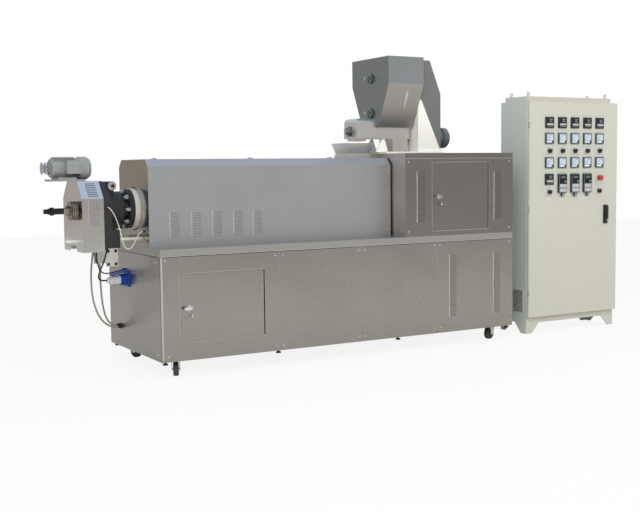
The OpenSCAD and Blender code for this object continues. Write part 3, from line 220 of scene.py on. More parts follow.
def louvre(width, share=1.0, slit=1.3):
    """A pressed louvre: a hood over a slit of painted shade (skin 1), with a painted highlight at
    its left end (skin 2).
    """
    sizes = bpy.context.scene.extruder_sizes
    rise = sizes.louvre_rise * 1000 * share
    proud = sizes.louvre_proud * 1000 * share
    bm = bmesh.new()
    bmesh.ops.create_cube(bm, size=1)
    bmesh.ops.scale(bm, vec=(width, 2 * rise, 2 * proud), verts=bm.verts[:])
    bmesh.ops.bevel(
        bm, geom=bm.edges[:], offset=0.9 * min(rise, proud), segments=2, profile=0.5,
        affect="EDGES", material=-1, clamp_overlap=True,
    )
    cut = bmesh.ops.bisect_plane(
        bm, geom=bm.verts[:] + bm.edges[:] + bm.faces[:], plane_co=(0, 0, 0),
        plane_no=(0, 1, 0), clear_inner=True,
    )
    # The cut face under the hood stands for the slit's opening, dark with painted shade (skin 1)
    rim = [e for e in cut["geom_cut"] if isinstance(e, bmesh.types.BMEdge)]
    for face in bmesh.ops.edgeloop_fill(bm, edges=rim)["faces"]:
        face.material_index = 1
    bmesh.ops.bisect_plane(
        bm, geom=bm.verts[:] + bm.edges[:] + bm.faces[:], plane_co=(0, 0, -0.5),
        plane_no=(0, 0, 1), clear_inner=True,
    )
    bmesh.ops.recalc_face_normals(bm, faces=bm.faces[:])
    # A thin dark strip of painted shade stands for the open slit under the hood
    slit_shade = bmesh.ops.create_cube(
        bm, size=1, matrix=shift(0, -slit / 2, 0) @ Matrix.Diagonal((width - 4, slit, 0.6, 1)),
    )
    for face in {f for v in slit_shade["verts"] for f in v.link_faces}:
        face.material_index = 1
    whole = bmesh.new()
    put(whole, bm, Matrix())
    # The rounded left end carries a painted highlight (skin 2)
    bulge = lathe([(0, 1.1 * proud), (0.4 * rise, 0.9 * proud), (0.6 * rise, -0.4)], 12)
    put(whole, bulge, shift(-width / 2, 0.3 * rise, 0), skin=2)
    return whole


def sheet_screw(radius):
    """A button head screw with a socket."""
    return lathe([
        (0, 0.22 * radius), (0.32 * radius, 0.22 * radius), (0.4 * radius, 0.52 * radius),
        (0.62 * radius, 0.5 * radius), (0.9 * radius, 0.3 * radius), (radius, 0.05 * radius),
        (radius, -0.1 * radius),
    ], 14)


def hexagon_bolt(radius):
    """A hexagon head on a washer."""
    bm = lathe([
        (0, 0.82 * radius), (0.8 * radius, 0.82 * radius), (radius, 0.68 * radius),
        (radius, 0.16 * radius), (0, 0.16 * radius),
    ], 6)
    put(bm, lathe([
        (0, 0.2 * radius), (1.12 * radius, 0.2 * radius), (1.2 * radius, 0.14 * radius),
        (1.2 * radius, -0.1 * radius), (0, -0.1 * radius),
    ], 18), Matrix())
    return bm


def put(bm, shape, *places, skin=None):
    """Adds a shape to a piece at each place, in one skin of the piece or in its own skins."""
    mesh = bpy.data.meshes.new("shape")
    if skin is not None:
        for face in shape.faces:
            face.material_index = skin
    shape.to_mesh(mesh)
    shape.free()
    for place in places:
        first = len(bm.verts)
        bm.from_mesh(mesh)
        bm.verts.ensure_lookup_table()
        bmesh.ops.transform(bm, matrix=place, verts=bm.verts[first:])
    bpy.data.meshes.remove(mesh)


def piece(name, bm, finishes, body):
    """A finished piece with its finishes, riding on a body."""
    mesh = bpy.data.meshes.new(name)
    bm.to_mesh(mesh)
    bm.free()
    for finish in finishes:
        mesh.materials.append(bpy.data.materials[finish])
    mesh.shade_smooth()
    mesh.set_sharp_from_angle(angle=math.radians(38))
    obj = bpy.data.objects.new(name, mesh)
    bpy.context.scene.collection.objects.link(obj)
    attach(obj, body)


# Finishes

# Sockets of a Mix node, by number because their names repeat: inputs, then the mixed colour
SHARE, VALUE_A, VALUE_B, COLOUR_A, COLOUR_B = 0, 2, 3, 6, 7
MIXED = 2


def add(tree, kind, values=None, stops=None, **settings):
    """Adds a node: settings are its own, values go to its inputs, an output is linked."""
    node = tree.nodes.new(kind)
    for name, value in settings.items():
        setattr(node, name, value)
    for name, value in (values or {}).items():
        if isinstance(value, bpy.types.NodeSocket):
            tree.links.new(value, node.inputs[name])
        else:
            node.inputs[name].default_value = value
    for k, (position, value) in enumerate(stops or ()):
        node.color_ramp.elements[k].position = position
        node.color_ramp.elements[k].color = value
    return node


def start(name, **values):
    """A new material with values on its shader: (its nodes, its shader, object coordinates)."""
    material = bpy.data.materials.new(name)
    material.use_nodes = True
    tree = material.node_tree
    shader = tree.nodes["Principled BSDF"]
    for socket, value in values.items():
        shader.inputs[socket.replace("_", " ")].default_value = value
    return tree, shader, add(tree, "ShaderNodeTexCoord").outputs["Object"]


def connect(tree, shader, **outputs):
    """Links each output to the shader's socket of that name."""
    for socket, output in outputs.items():
        tree.links.new(output, shader.inputs[socket.replace("_", " ")])


def per(millimetres):
    """Texture scale at which a pattern repeats about every so many millimetres."""
    return 1000 / millimetres


def tone(rgb, factor):
    """A colour made lighter or darker, with its alpha."""
    return (*[min(1, c * factor) for c in rgb], 1)


# Faces that painted light or shade may single out, as an axis and how far their normal leans down
# it
TOWARDS_DISCHARGE = ("x", -0.7)
DOWNWARDS = ("z", -0.3)


def painted_side_shading(tree, tint, axis, limit, factors):
    """Paints light or shade: multiplies a colour on the faces that look down an axis, further than
    a limit.
    """
    facing = add(tree, "ShaderNodeSeparateXYZ", {
        "Vector": add(tree, "ShaderNodeNewGeometry").outputs["Normal"],
    })
    side = add(tree, "ShaderNodeMath", {
        0: facing.outputs["xyz".index(axis)], 1: limit,
    }, operation="LESS_THAN")
    shade = add(tree, "ShaderNodeMix", {
        SHARE: side.outputs[0], COLOUR_A: (1, 1, 1, 1), COLOUR_B: (*factors, 1),
    }, data_type="RGBA")
    return add(tree, "ShaderNodeMix", {
        SHARE: 1, COLOUR_A: tint.outputs[MIXED], COLOUR_B: shade.outputs[MIXED],
    }, data_type="RGBA", blend_type="MULTIPLY")


def sheet_steel(name, rgb, roughness, along, buckle=0.3, streak=0.05, ends=1.0, metal=1.0,
                below=(1, 1, 1)):
    """Stainless sheet, rolled and then ground or blasted along one direction.

    It mirrors softly, with fine lines along the grain, cleaning smears some 300 mm across
    and a slight buckle that bends reflections. The lines are really 0.3 mm apart, and are
    drawn 6 mm apart and 900 mm long so that they show. ends paints light or shade on the
    faces that look towards the discharge end, lightening or darkening them, and below
    paints shade, a darker tint, on those that slope down. A metal share under 1 gives the
    frosted look of a blasted sheet.
    """
    tree, shader, place = start(name, Metallic=metal)
    grain = [per(6), per(6), per(6)]
    grain["xyz".index(along)] = per(900)
    stretched = add(tree, "ShaderNodeMapping", {"Vector": place, "Scale": grain})
    lines = add(tree, "ShaderNodeTexNoise", {
        "Vector": stretched.outputs[0], "Scale": 1, "Detail": 3, "Roughness": 0.65,
    })
    smears = add(tree, "ShaderNodeTexNoise", {
        "Vector": place, "Scale": per(300), "Detail": 5, "Roughness": 0.6, "Distortion": 0.4,
    })
    mixed = add(tree, "ShaderNodeMix", {
        SHARE: 0.2, VALUE_A: smears.outputs[0], VALUE_B: lines.outputs[0],
    })
    tint = add(tree, "ShaderNodeMix", {
        SHARE: mixed.outputs[0],
        COLOUR_A: tone(rgb, 1 - streak), COLOUR_B: tone(rgb, 1 + streak),
    }, data_type="RGBA")
    dull = add(tree, "ShaderNodeMapRange", {
        "Value": mixed.outputs[0], "From Min": 0.3, "From Max": 0.7,
        "To Min": roughness * 0.8, "To Max": roughness * 1.25,
    })
    waves = add(tree, "ShaderNodeTexNoise", {"Vector": place, "Scale": per(420), "Detail": 1})
    bent = add(tree, "ShaderNodeBump", {
        "Height": waves.outputs[0], "Strength": buckle, "Distance": 0.02,
    })
    fine = add(tree, "ShaderNodeBump", {
        "Height": lines.outputs[0], "Strength": 0.012, "Distance": 0.0006,
        "Normal": bent.outputs[0],
    })
    # Painted light or shade on the end faces, and painted shade on the faces that slope down
    tint = painted_side_shading(tree, tint, *TOWARDS_DISCHARGE, (ends, ends, ends))
    tint = painted_side_shading(tree, tint, *DOWNWARDS, below)
    connect(tree, shader, Base_Color=tint.outputs[MIXED], Roughness=dull.outputs[0],
            Normal=fine.outputs[0])


def mottle(tree, shader, place, rgb, roughness, spread, dulls, patches, marks, relief,
           sides=None):
    """Patches that vary a finish's colour and roughness, and marks that stand out of it.

    spread and dulls say how far the patches go. patches and marks each give a size in
    millimetres, its detail and its unevenness, and relief the marks' strength and height in
    millimetres. sides paints light, as a tint, on the faces that look towards the discharge end.
    """
    cloud, fine = (
        add(tree, "ShaderNodeTexNoise", {
            "Vector": place, "Scale": per(size), "Detail": detail, "Roughness": uneven,
        }) for size, detail, uneven in (patches, marks)
    )
    tint = add(tree, "ShaderNodeMix", {
        SHARE: cloud.outputs[0],
        COLOUR_A: tone(rgb, 1 - spread), COLOUR_B: tone(rgb, 1 + spread),
    }, data_type="RGBA")
    # Painted light on the faces towards the discharge end
    if sides:
        tint = painted_side_shading(tree, tint, *TOWARDS_DISCHARGE, sides)
    dull = add(tree, "ShaderNodeMapRange", {
        "Value": cloud.outputs[0], "From Min": 0.3, "From Max": 0.7,
        "To Min": roughness * dulls[0], "To Max": min(1, roughness * dulls[1]),
    })
    bumps = add(tree, "ShaderNodeBump", {
        "Height": fine.outputs[0], "Strength": relief[0], "Distance": relief[1] / 1000,
    })
    connect(tree, shader, Base_Color=tint.outputs[MIXED], Roughness=dull.outputs[0],
            Normal=bumps.outputs[0])


def plated_steel(name, rgb, roughness, stain=0.25, metal=1.0):
    """Turned or cast steel, plated or polished, with slight stains and tool marks.

    A metal share under 1 makes it partly diffuse and white under the lamps: a painted highlight in
    place of bright reflections.
    """
    mottle(*start(name, Metallic=metal), rgb, roughness, stain, (0.75, 1.3),
           patches=(45, 4, 0.6), marks=(3, 3, 0.6), relief=(0.12, 0.6))


def paint(name, rgb, roughness, peel=4, coat=0.0, shade=0.05, sides=None):
    """Enamel, powder coat or blacking on iron: even colour, orange peel and dust in patches.

    peel is the orange peel's size in millimetres.
    """
    mottle(*start(name, IOR=1.5, Coat_Weight=coat, Coat_Roughness=0.15), rgb, roughness, shade,
           (0.85, 1.15), patches=(260, 5, 0.65), marks=(peel, 2, 0.5), relief=(0.1, 0.5),
           sides=sides)


def moulding(name, rgb, roughness, ior=1.5):
    """Moulded plastic or rubber: one colour through, a fine eroded grain, faint scuffs."""
    mottle(*start(name, IOR=ior), rgb, roughness, 0.1, (0.85, 1.2),
           patches=(30, 4, 0.7), marks=(1.6, 2, 0.55), relief=(0.15, 0.3))


def spindle_steel(name):
    """Spindle of blackened steel with a turned pulley: bright rings with a warm cast."""
    tree, shader, place = start(name, Metallic=1)
    low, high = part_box("cutter_spindle")
    axial = add(tree, "ShaderNodeSeparateXYZ", {"Vector": place})
    along = add(tree, "ShaderNodeMapRange", {
        "Value": axial.outputs[0], "From Min": low.x, "From Max": high.x,
    })
    # The outer end stays black, and the turned pulley starts at 0.3 of the length.
    bright = add(tree, "ShaderNodeValToRGB", {"Fac": along.outputs[0]}, [
        (0.0, (0, 0, 0, 1)), (0.3, (1, 1, 1, 1)),
    ])
    bright.color_ramp.interpolation = "CONSTANT"
    # Tool marks are finer in real life. A wave has tau / 20 of its unit from band to band,
    # so a unit of 12.56 mm draws them 4 mm apart, where they show.
    rings = add(tree, "ShaderNodeTexWave", {
        "Vector": place, "Scale": per(12.56), "Distortion": 0.4, "Detail": 1,
    }, bands_direction="X")
    turned = add(tree, "ShaderNodeMix", {
        SHARE: rings.outputs["Fac"],
        COLOUR_A: (*linear("#8E8478"), 1), COLOUR_B: (*linear("#D3C6B4"), 1),
    }, data_type="RGBA")
    tint = add(tree, "ShaderNodeMix", {
        SHARE: bright.outputs[0],
        COLOUR_A: (*linear("#3B3A3A"), 1), COLOUR_B: turned.outputs[MIXED],
    }, data_type="RGBA")
    dull = add(tree, "ShaderNodeMapRange", {
        "Value": bright.outputs[0], "To Min": 0.42, "To Max": 0.24,
    })
    connect(tree, shader, Base_Color=tint.outputs[MIXED], Roughness=dull.outputs[0])


DRESS = {
    "Rolled stainless panels": ("door_panel", "base_panels", "base_door"),
    "Folded stainless deck": ("base_deck",),
    "Blasted stainless cover": ("barrel_cover",),
    "Polished stainless sheet": ("cutter_guard",),
    "Mirror-ground end plate": ("cover_end_plate",),
    "Dark rolled stainless": ("base_floor", "base_posts", "housing_walls", "housing_lid"),
    "Dark rolled door leaf": ("housing_door",),
    "Ground stainless hopper": ("hopper",),
    "Bright ground stainless": (
        "feeder_trough", "trough_cover", "intake_funnel", "mount_brackets",
    ),
    "Bright zinc plating": (
        "caster_plates", "caster_fork_1", "caster_fork_2", "caster_fork_3", "caster_fork_4",
        "head_bolts", "agitator_upper", "agitator_lower", "feed_screw", "motor_pulley",
    ),
    "Cast bearing iron": ("shaft_bearings",),
    "Chromed steel": ("base_door_latch", "housing_door_latch"),
    "Polished barrel steel": ("barrel", "guide_rods"),
    "Blackened iron": ("die_head", "cutter_mount", "levelling_feet"),
    "Turned spindle steel": ("cutter_spindle",),
    "Grey motor enamel": ("cutter_motor", "motor_slide"),
    "Slate motor enamel": ("feeder_motor",),
    "Dark grey paint": ("drive_guard",),
    "Cream enamel": ("feeder_pedestal",),
    "Beige powder coat": (
        "cabinet_shell", "cabinet_plinth", "cabinet_lid_plate", "cabinet_door",
    ),
    "Blue polyamide": ("socket_outlet",),
    "White polyamide": ("power_plug",),
    "Black moulded plastic": (
        "cable_glands", "cabinet_handle", "panel_instruments", "door_knobs",
    ),
    "Red moulded plastic": ("emergency_stop",),
    "Black tyre rubber": (
        "caster_wheel_1", "caster_wheel_2", "caster_wheel_3", "caster_wheel_4",
    ),
    "Black cable jacket": ("plug_cable", "socket_cable"),
    "Grey hose rubber": ("grey_hoses",),
    "White silicone sleeve": ("white_lead",),
}


class EXTRUDER_OT_finishes(bpy.types.Operator):
    """Make the finishes and dress the machine's solids in them"""

    bl_idname = "extruder.finishes"
    bl_label = "Finishes"

    def execute(self, context):
        c = context.scene.extruder_colours
        # Rolled sheet mirrors the room softly, and its level lines hardly show.
        sheet_steel("Rolled stainless panels", c.panel, 0.26, "x", streak=0.024)
        # A duller sheet, so that the deck's rim keeps one grey along the whole machine
        sheet_steel("Folded stainless deck", linear("#A2A09D"), 0.3, "x", streak=0.024,
                    metal=0.5)
        # Blasting frosts the cover to an even grey that mirrors little.
        sheet_steel("Blasted stainless cover", c.cover, 0.36, "x", buckle=0.15, metal=0.6)
        # Polish gives the guard pale, clear reflections.
        sheet_steel("Polished stainless sheet", c.guard, 0.14, "z", buckle=0.2)
        # The end plate is nearly as clear, and warmer and darker.
        sheet_steel("Mirror-ground end plate", linear("#A0978F"), 0.18, "z", buckle=0.2)
        # Dull dark grey on the housing's front, with painted light that makes its end wall much
        # lighter
        sheet_steel("Dark rolled stainless", c.housing, 0.4, "x", ends=2.6)
        # The same dull grey on every face, so that the leaf's edge stays dark
        sheet_steel("Dark rolled door leaf", c.housing, 0.4, "x")
        # Silvery, ground upright, with painted shade that darkens its end and makes its lower
        # slopes darker and warmer
        sheet_steel("Ground stainless hopper", c.hopper, 0.3, "z", ends=0.62,
                    below=(0.8, 0.72, 0.64))
        # Bright and softly blurred along the trough
        sheet_steel("Bright ground stainless", c.trough, 0.34, "x", buckle=0.15)
        # Light silver, mottled by the plating
        plated_steel("Bright zinc plating", c.zinc, 0.3)
        # Dull grey with a greenish cast
        plated_steel("Cast bearing iron", linear("#9AA09A"), 0.42)
        # Clean, sharp glints
        plated_steel("Chromed steel", linear("#DADADA"), 0.1, stain=0.06)
        # Nearly white, with a broad soft shine: bright steel, whitened further as a painted
        # highlight
        plated_steel("Polished barrel steel", linear("#F2F0EA"), 0.36, stain=0.03, metal=0.45)
        # Painted highlight: a white dot at the rounded left end of each louvre, where it catches
        # the light
        plated_steel("Louvre end highlight", linear("#FBFAF8"), 0.5, stain=0.04, metal=0.3)
        # Painted highlight: a pale line along an edge or fold of the sheet, where it catches the
        # light
        plated_steel("Pale edge highlight", linear("#C4C2BE"), 0.45, stain=0.06, metal=0.5)
        # Blacking: nearly black, uneven in patches, with a low sheen
        paint("Blackened iron", c.iron, 0.5, peel=3, shade=0.2)
        spindle_steel("Turned spindle steel")
        # Enamels shine under a clear top layer, the slate one less.
        paint("Grey motor enamel", c.motor, 0.34, peel=3, coat=0.3)
        paint("Slate motor enamel", linear("#63676A"), 0.4, peel=3, coat=0.2)
        # Satin, without a top layer
        paint("Dark grey paint", c.drive, 0.5)
        # The palest surface, with a soft gloss
        paint("Cream enamel", c.cream, 0.36, coat=0.2)
        # Matt and even, finely textured, with painted light that makes the sides towards the
        # discharge end lighter and cooler
        paint("Beige powder coat", c.beige, 0.46, peel=2.5, shade=0.03, sides=(1.1, 1.19, 1.3))
        # Mouldings have one deep colour and a blurred highlight.
        moulding("Blue polyamide", c.socket, 0.36)
        moulding("White polyamide", c.plug, 0.4)
        moulding("Black moulded plastic", linear("#2A2B2D"), 0.42)
        moulding("Red moulded plastic", c.stop, 0.3)
        # Rubber and silicone are duller, and the cable's jacket has a faint shine.
        moulding("Black tyre rubber", linear("#413F3D"), 0.6, ior=1.52)
        moulding("Black cable jacket", linear("#1D1D1E"), 0.5)
        moulding("Grey hose rubber", c.hose, 0.42)
        # The seal is painted light: much paler than its rubber, against the shade of the door's
        # gap
        moulding("Rubber seal in painted light", linear("#F1F0E7"), 0.6, ior=1.52)
        moulding("White silicone sleeve", linear("#EAE7DE"), 0.5, ior=1.41)
        # Painted shade in openings and recesses too small to model through: dark, with no shine
        moulding("Shadowed slit", linear("#2E2D2C"), 0.8)
        # Instrument faces: pale blue card, flat ink, glossy dark windows and dull keys
        moulding("Meter card", linear("#C6D4E2"), 0.35)
        moulding("Dial ink", linear("#26292E"), 0.6)
        moulding("Display window", linear("#15171A"), 0.2)
        moulding("Display digits", linear("#7C8184"), 0.4)
        moulding("Grey keys", linear("#BCC1C2"), 0.45)
        moulding("Red key", linear("#D0575C"), 0.4)
        moulding("Slate keypad frame", linear("#566873"), 0.4)
        moulding("Label card", linear("#DEDCD2"), 0.5)
        for finish, nodes in DRESS.items():
            for node in nodes:
                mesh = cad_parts[node].data
                mesh.materials.clear()
                mesh.materials.append(bpy.data.materials[finish])
        bare = set(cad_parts) - {n for nodes in DRESS.values() for n in nodes}
        if bare:
            raise RuntimeError(f"no finish for {sorted(bare)}")
        return {"FINISHED"}


# Leads and hoses

# Each lead hangs from knot to knot: a point of the machine and the lead's pull there.
ROUTES = {
    "white_lead": [
        ((-224, 244, 1014), (0, -44, 0)), ((-168, 216, 900), (22, 2, -74)),
        ((-106, 226, 764), (40, 4, 0)), ((-8, 250, 862), (42, 0, 0)),
    ],
    "plug_cable": [((-229, 268, 758), (-16, 26, -120)), ((-134, 575, 545), (104, 0, 0))],
    "socket_cable": [((-216, 510, 758), (0, 0, -210)), ((-16, 620, 600), (110, 0, 14))],
    "hose_front": [((-237, 495, 758), (-52, 10, -270)), ((-22, 712, 225), (150, 0, 0))],
    "hose_back": [((-181, 562, 758), (8, 16, -280)), ((-22, 738, 235), (106, 0, 0))],
}


def hang(knots, steps=32):
    """Points on one smooth curve from knot to knot."""
    curve = []
    for (low, pull), (high, draw) in zip(knots, knots[1:]):
        a, d = at(*low), at(*high)
        b, c = a + Vector(pull) / 1000, d - Vector(draw) / 1000
        for k in range(steps):
            t = k / steps
            curve.append((1 - t) ** 3 * a + 3 * t * (1 - t) ** 2 * b
                         + 3 * t ** 2 * (1 - t) * c + t ** 3 * d)
    return curve + [at(*knots[-1][0])]


def lead(name, diameter, finish, node):
    """One lead or hose as a curve along its route."""
    route = hang(ROUTES[name])
    curve = bpy.data.curves.new(name, "CURVE")
    curve.dimensions = "3D"
    curve.bevel_depth = diameter / 2
    curve.bevel_resolution = 4
    curve.use_fill_caps = True
    spline = curve.splines.new("POLY")
    spline.points.add(len(route) - 1)
    for point, place in zip(spline.points, route):
        point.co = (*place, 1)
    curve.materials.append(bpy.data.materials[finish])
    obj = bpy.data.objects.new(name + "_line", curve)
    bpy.context.scene.collection.objects.link(obj)
    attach(obj, "frame")
    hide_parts(node)


class EXTRUDER_OT_leads(bpy.types.Operator):
    """Hang the leads and hoses of the discharge end"""

    bl_idname = "extruder.leads"
    bl_label = "Leads and hoses"

    def execute(self, context):
        s = context.scene.extruder_sizes
        lead("white_lead", s.white_lead, "White silicone sleeve", "white_lead")
        lead("plug_cable", s.plug_cable, "Black cable jacket", "plug_cable")
        lead("socket_cable", s.socket_cable, "Black cable jacket", "socket_cable")
        lead("hose_front", s.hose, "Grey hose rubber", "grey_hoses")
        lead("hose_back", s.hose, "Grey hose rubber", "grey_hoses")
        return {"FINISHED"}


# Louvres and screws

class EXTRUDER_OT_louvres(bpy.types.Operator):
    """Press the louvres into the cover, the housing, the base and the cutter's guard"""

    bl_idname = "extruder.louvres"
    bl_label = "Louvres"

    def execute(self, context):
        def column(x, y, low, high, count):
            step = (high - low) / (count - 1)
            return [seat(x, y, low + k * step) for k in range(count)]

        def press(name, shape, places, sheet):
            bm = bmesh.new()
            put(bm, shape, *places)
            piece(name, bm, [sheet, "Shadowed slit", "Louvre end highlight"], "frame")

        groups = [column(x, COVER_FRONT, 828, 968, 10) for x in (164, 306, 445, 587, 723)]
        press("cover_louvres", louvre(64), sum(groups, []), "Blasted stainless cover")
        press("housing_louvres", louvre(67, slit=0.4),
              column(1868, 0, 864, 1194, 28) + column(2526, 0, 864, 1188, 28),
              "Dark rolled stainless")
        press("base_louvres", louvre(62, slit=0.4),
              column(2134, 0, 204, 622, 34) + column(2519, 0, 204, 622, 34),
              "Rolled stainless panels")

        # The guard's column goes on up its shoulder, which slopes back by its run over its rise.
        x, y = -313, (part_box("cutter_guard")[0].y - CORNER.y) * 1000
        shoulder, run, rise = 1067, 90, 103
        lean = math.degrees(math.atan2(run, rise))
        shares = [0.14 + 0.1 * k for k in range(8)]
        press("guard_louvres", louvre(66, 0.7, slit=1.6), column(x, y, 916, 1050, 11) + [
            seat(x, y + run * up, shoulder + rise * up, tilt=lean) for up in shares
        ], "Polished stainless sheet")
        return {"FINISHED"}


class EXTRUDER_OT_screws(bpy.types.Operator):
    """Drive the sheet screws of the base, the cover and the housing"""

    bl_idname = "extruder.screws"
    bl_label = "Sheet screws"

    def execute(self, context):
        radius = context.scene.extruder_sizes.screw_radius * 1000

        def corners(facing, xs, ys, zs):
            return [seat(x, y, z, facing) for x in xs for y in ys for z in zs]

        panels = [
            (31, 699), (40, 130), (760, 696), (760, 132), (811, 693), (811, 132), (1369, 696),
            (1369, 132), (1417, 696), (1417, 132), (1976, 702), (1975, 134), (2021, 702),
            (2027, 134), (2631, 701), (2631, 133),
        ]
        bm = bmesh.new()
        put(bm, sheet_screw(radius),
            *[seat(x, 0, z) for x, z in panels],
            *[seat(x, BASE_DEEP, z, "back") for x, z in panels],
            *corners("left", [0], (60, 856), (138, 690)),
            *corners("right", [BASE_LONG], (60, 856), (138, 690)))
        piece("base_screws", bm, ["Chromed steel"], "frame")

        # The cover's front and back, then the housing's four walls
        bm = bmesh.new()
        put(bm, sheet_screw(radius),
            *corners("front", (18, 1712), [COVER_FRONT], (806, 1207)),
            *corners("back", (18, 1712), [COVER_BACK], (806, 1207)),
            *corners("front", (1767, 2629), [0], (802, 1267)),
            *corners("back", (1767, 2629), [BASE_DEEP], (802, 1267)),
            *corners("left", [HOUSING_LEFT], (44, 872), (807, 1267)),
            *corners("right", [BASE_LONG], (44, 872), (807, 1267)))
        piece("hood_screws", bm, ["Chromed steel"], "frame")

        # Three flat knobs on top of the cover
        bm = bmesh.new()
        put(bm, lathe([
            (0, 10), (10, 10), (16, 8), (19, 5), (19, 3), (12, 2), (12, 1), (20, 1), (20, -1),
        ]), *[seat(x, AXIS_Y, 1296, "top") for x in (139, 803, 1402)])
        piece("cover_knobs", bm, ["Chromed steel"], "frame")
        return {"FINISHED"}


# Cutter

class EXTRUDER_OT_cutter(bpy.types.Operator):
    """Fit the clamp and bracket bolts, the saddle and the motor's fins, lid and fan grille"""

    bl_idname = "extruder.cutter"
    bl_label = "Cutter fittings"

    def execute(self, context):
        sizes = context.scene.extruder_sizes
        bm = bmesh.new()
        ends = seat(-177, MOUNT_FRONT, 1139), seat(-177, MOUNT_BACK, 1139, "back")
        put(bm, lathe([
            (10, 8), (11, 16), (17, 16), (19, 14), (19, 4), (26, 4), (27, 2), (27, -1),
        ], 28), *ends, skin=0)
        # A dark disc of painted shade stands for each bolt's hex socket
        put(bm, lathe([(0, 9), (11, 9)], 6), *ends, skin=1)
        piece("clamp_bolts", bm, ["Chromed steel", "Shadowed slit"], "frame")

        # Saddle under the die head: flat on the mount's foot, hollowed to the head's radius
        bm = bmesh.new()
        half, foot, hollow = 70, 879, 107
        edge = [(AXIS_Y - half, foot), (AXIS_Y + half, foot)]
        edge += [
            (AXIS_Y + hollow * math.sin(a), AXIS_Z - hollow * math.cos(a))
            for a in (math.radians(40 - 10 * k) for k in range(9))
        ]
        side = bm.faces.new([bm.verts.new(at(-195, y, z)) for y, z in edge])
        drawn = bmesh.ops.extrude_face_region(bm, geom=[side])
        bmesh.ops.translate(
            bm, vec=(0.096, 0, 0),
            verts=[v for v in drawn["geom"] if isinstance(v, bmesh.types.BMVert)],
        )
        bmesh.ops.recalc_face_normals(bm, faces=bm.faces[:])
        piece("head_saddle", bm, ["Blackened iron"], "frame")

        bm = bmesh.new()
        spots = [(x, z) for x in (-211, -164) for z in (672, 750)]
        put(bm, hexagon_bolt(sizes.bolt_radius * 1000 * 0.9),
            *[seat(x, MOUNT_FRONT, z) for x, z in spots],
            *[seat(x, MOUNT_BACK, z, "back") for x, z in spots])
        piece("bracket_bolts", bm, ["Blackened iron"], "frame")

        # Fins round the motor, apart from its terminal box and its foot, and ears on its end
        def round_motor(angle, x, radius):
            return (Matrix.Translation(at(x, AXIS_Y, MOTOR_Z)) @ turn(angle, "X") @ METRES
                    @ shift(0, 0, radius))

        bm = bmesh.new()
        count = sizes.motor_fins
        put(bm, block(132, 2.6, 8, 0.8, 1), *[
            round_motor(a, -435, 58.5) for a in (360 * k / count for k in range(count))
            if not (52 < a < 112 or 140 < a < 220)
        ])
        put(bm, lathe([(0, 6), (5, 6), (7, 4), (7, -1)], 12), *[
            round_motor(a, -513, 44) @ turn(-90, "Y") for a in (45, 135, 225, 315)
        ])
        piece("motor_fins", bm, ["Grey motor enamel"], "frame")

        # Terminal box: lid, its four screws and a gland below
        bm = bmesh.new()
        x, z = -394, 1253
        put(bm, block(88, 78, 7, 3, 3), seat(x, 325, z), skin=0)
        put(bm, sheet_screw(4), *[
            seat(x + sx * 37, 318, z + sz * 32) for sx in (-1, 1) for sz in (-1, 1)
        ], skin=1)
        put(bm, lathe([
            (0, 22), (6, 22), (9, 18), (9, 10), (13, 9), (13, 0), (0, 0),
        ], 12), Matrix.Translation(at(-371, 341, 1213)) @ turn(180, "X") @ METRES, skin=2)
        piece("terminal_lid", bm, ["Grey motor enamel", "Bright zinc plating",
                                   "Black moulded plastic"], "frame")

        # Fan grille: dark strips of painted shade for the slots in the fan's cowl
        bm = bmesh.new()
        put(bm, block(4, 22, 1.2, 0.5, 1), *[
            seat(-277, AXIS_Y, MOTOR_Z, "right", roll=a) @ shift(0, 38, -0.6)
            for a in range(0, 360, 15)
        ])
        piece("fan_grille", bm, ["Shadowed slit"], "frame")
        return {"FINISHED"}


# Feeder

class EXTRUDER_OT_feeder(bpy.types.Operator):
    """Fit the bolts of the trough, bearings and pedestal and the strip on the hopper"""

    bl_idname = "extruder.feeder"
    bl_label = "Feeder fittings"

    def execute(self, context):
        bolt = context.scene.extruder_sizes.bolt_radius * 1000
        # Round the bearing at the trough's free end
        places = [
            seat(1572, AXIS_Y + 52 * math.cos(a), 1470 + 26 * math.sin(a), "left")
            for a in (math.radians(45 + 90 * k) for k in range(4))
        ]
        # On the flange at its drive end
        for y, facing in ((333, "front"), (501, "back")):
            places += [seat(2012, y, z, facing) for z in (1447, 1470, 1493)]
        # At the foot of the pedestal's leg and wings
        for y in (300, 534):
            places += [seat(x, y, 1339, "top") for x in (1801, 1846, 1894, 1947)]
        bm = bmesh.new()
        put(bm, hexagon_bolt(bolt), *places)
        piece("feeder_bolts", bm, ["Bright zinc plating"], "frame")

        # Flanges of the two hopper bearings, each with four bolts
        bm = bmesh.new()
        face = HOPPER_LEFT - 14
        for z in (1845, 1608):
            put(bm, lathe([
                (16, 0), (34, 0), (36, -2), (36, -12), (33, -14), (16, -14), (16, 0),
            ], 24), seat(face, AXIS_Y, z, "left"), skin=0)
            put(bm, hexagon_bolt(6), *[
                seat(face, AXIS_Y + 28 * math.cos(a), z + 28 * math.sin(a), "left")
                for a in (0.8, 2.35, 3.93, 5.5)
            ], skin=1)
        piece("bearing_flanges", bm, ["Cast bearing iron", "Bright zinc plating"], "frame")

        # Thin strip with four screws on the hopper's front, which slopes out by run over rise; the
        # strip is painted pale as a highlight
        x, z, foot, run, rise = 1905, 1694, 1505, 129, 293
        lean = -math.degrees(math.atan2(run, rise))

        def on_slope(x, z):
            return seat(x, 315 - run * (z - foot) / rise, z, tilt=lean)

        bm = bmesh.new()
        put(bm, block(24, 118, 3, 1, 2), on_slope(x, z), skin=0)
        put(bm, sheet_screw(4.5), *[
            on_slope(x + sx * 20, z + sz * 66) for sx in (-1, 1) for sz in (-1, 1)
        ], skin=1)
        piece("hopper_strip", bm, ["Pale edge highlight", "Chromed steel"], "frame")
        return {"FINISHED"}


# Control cabinet

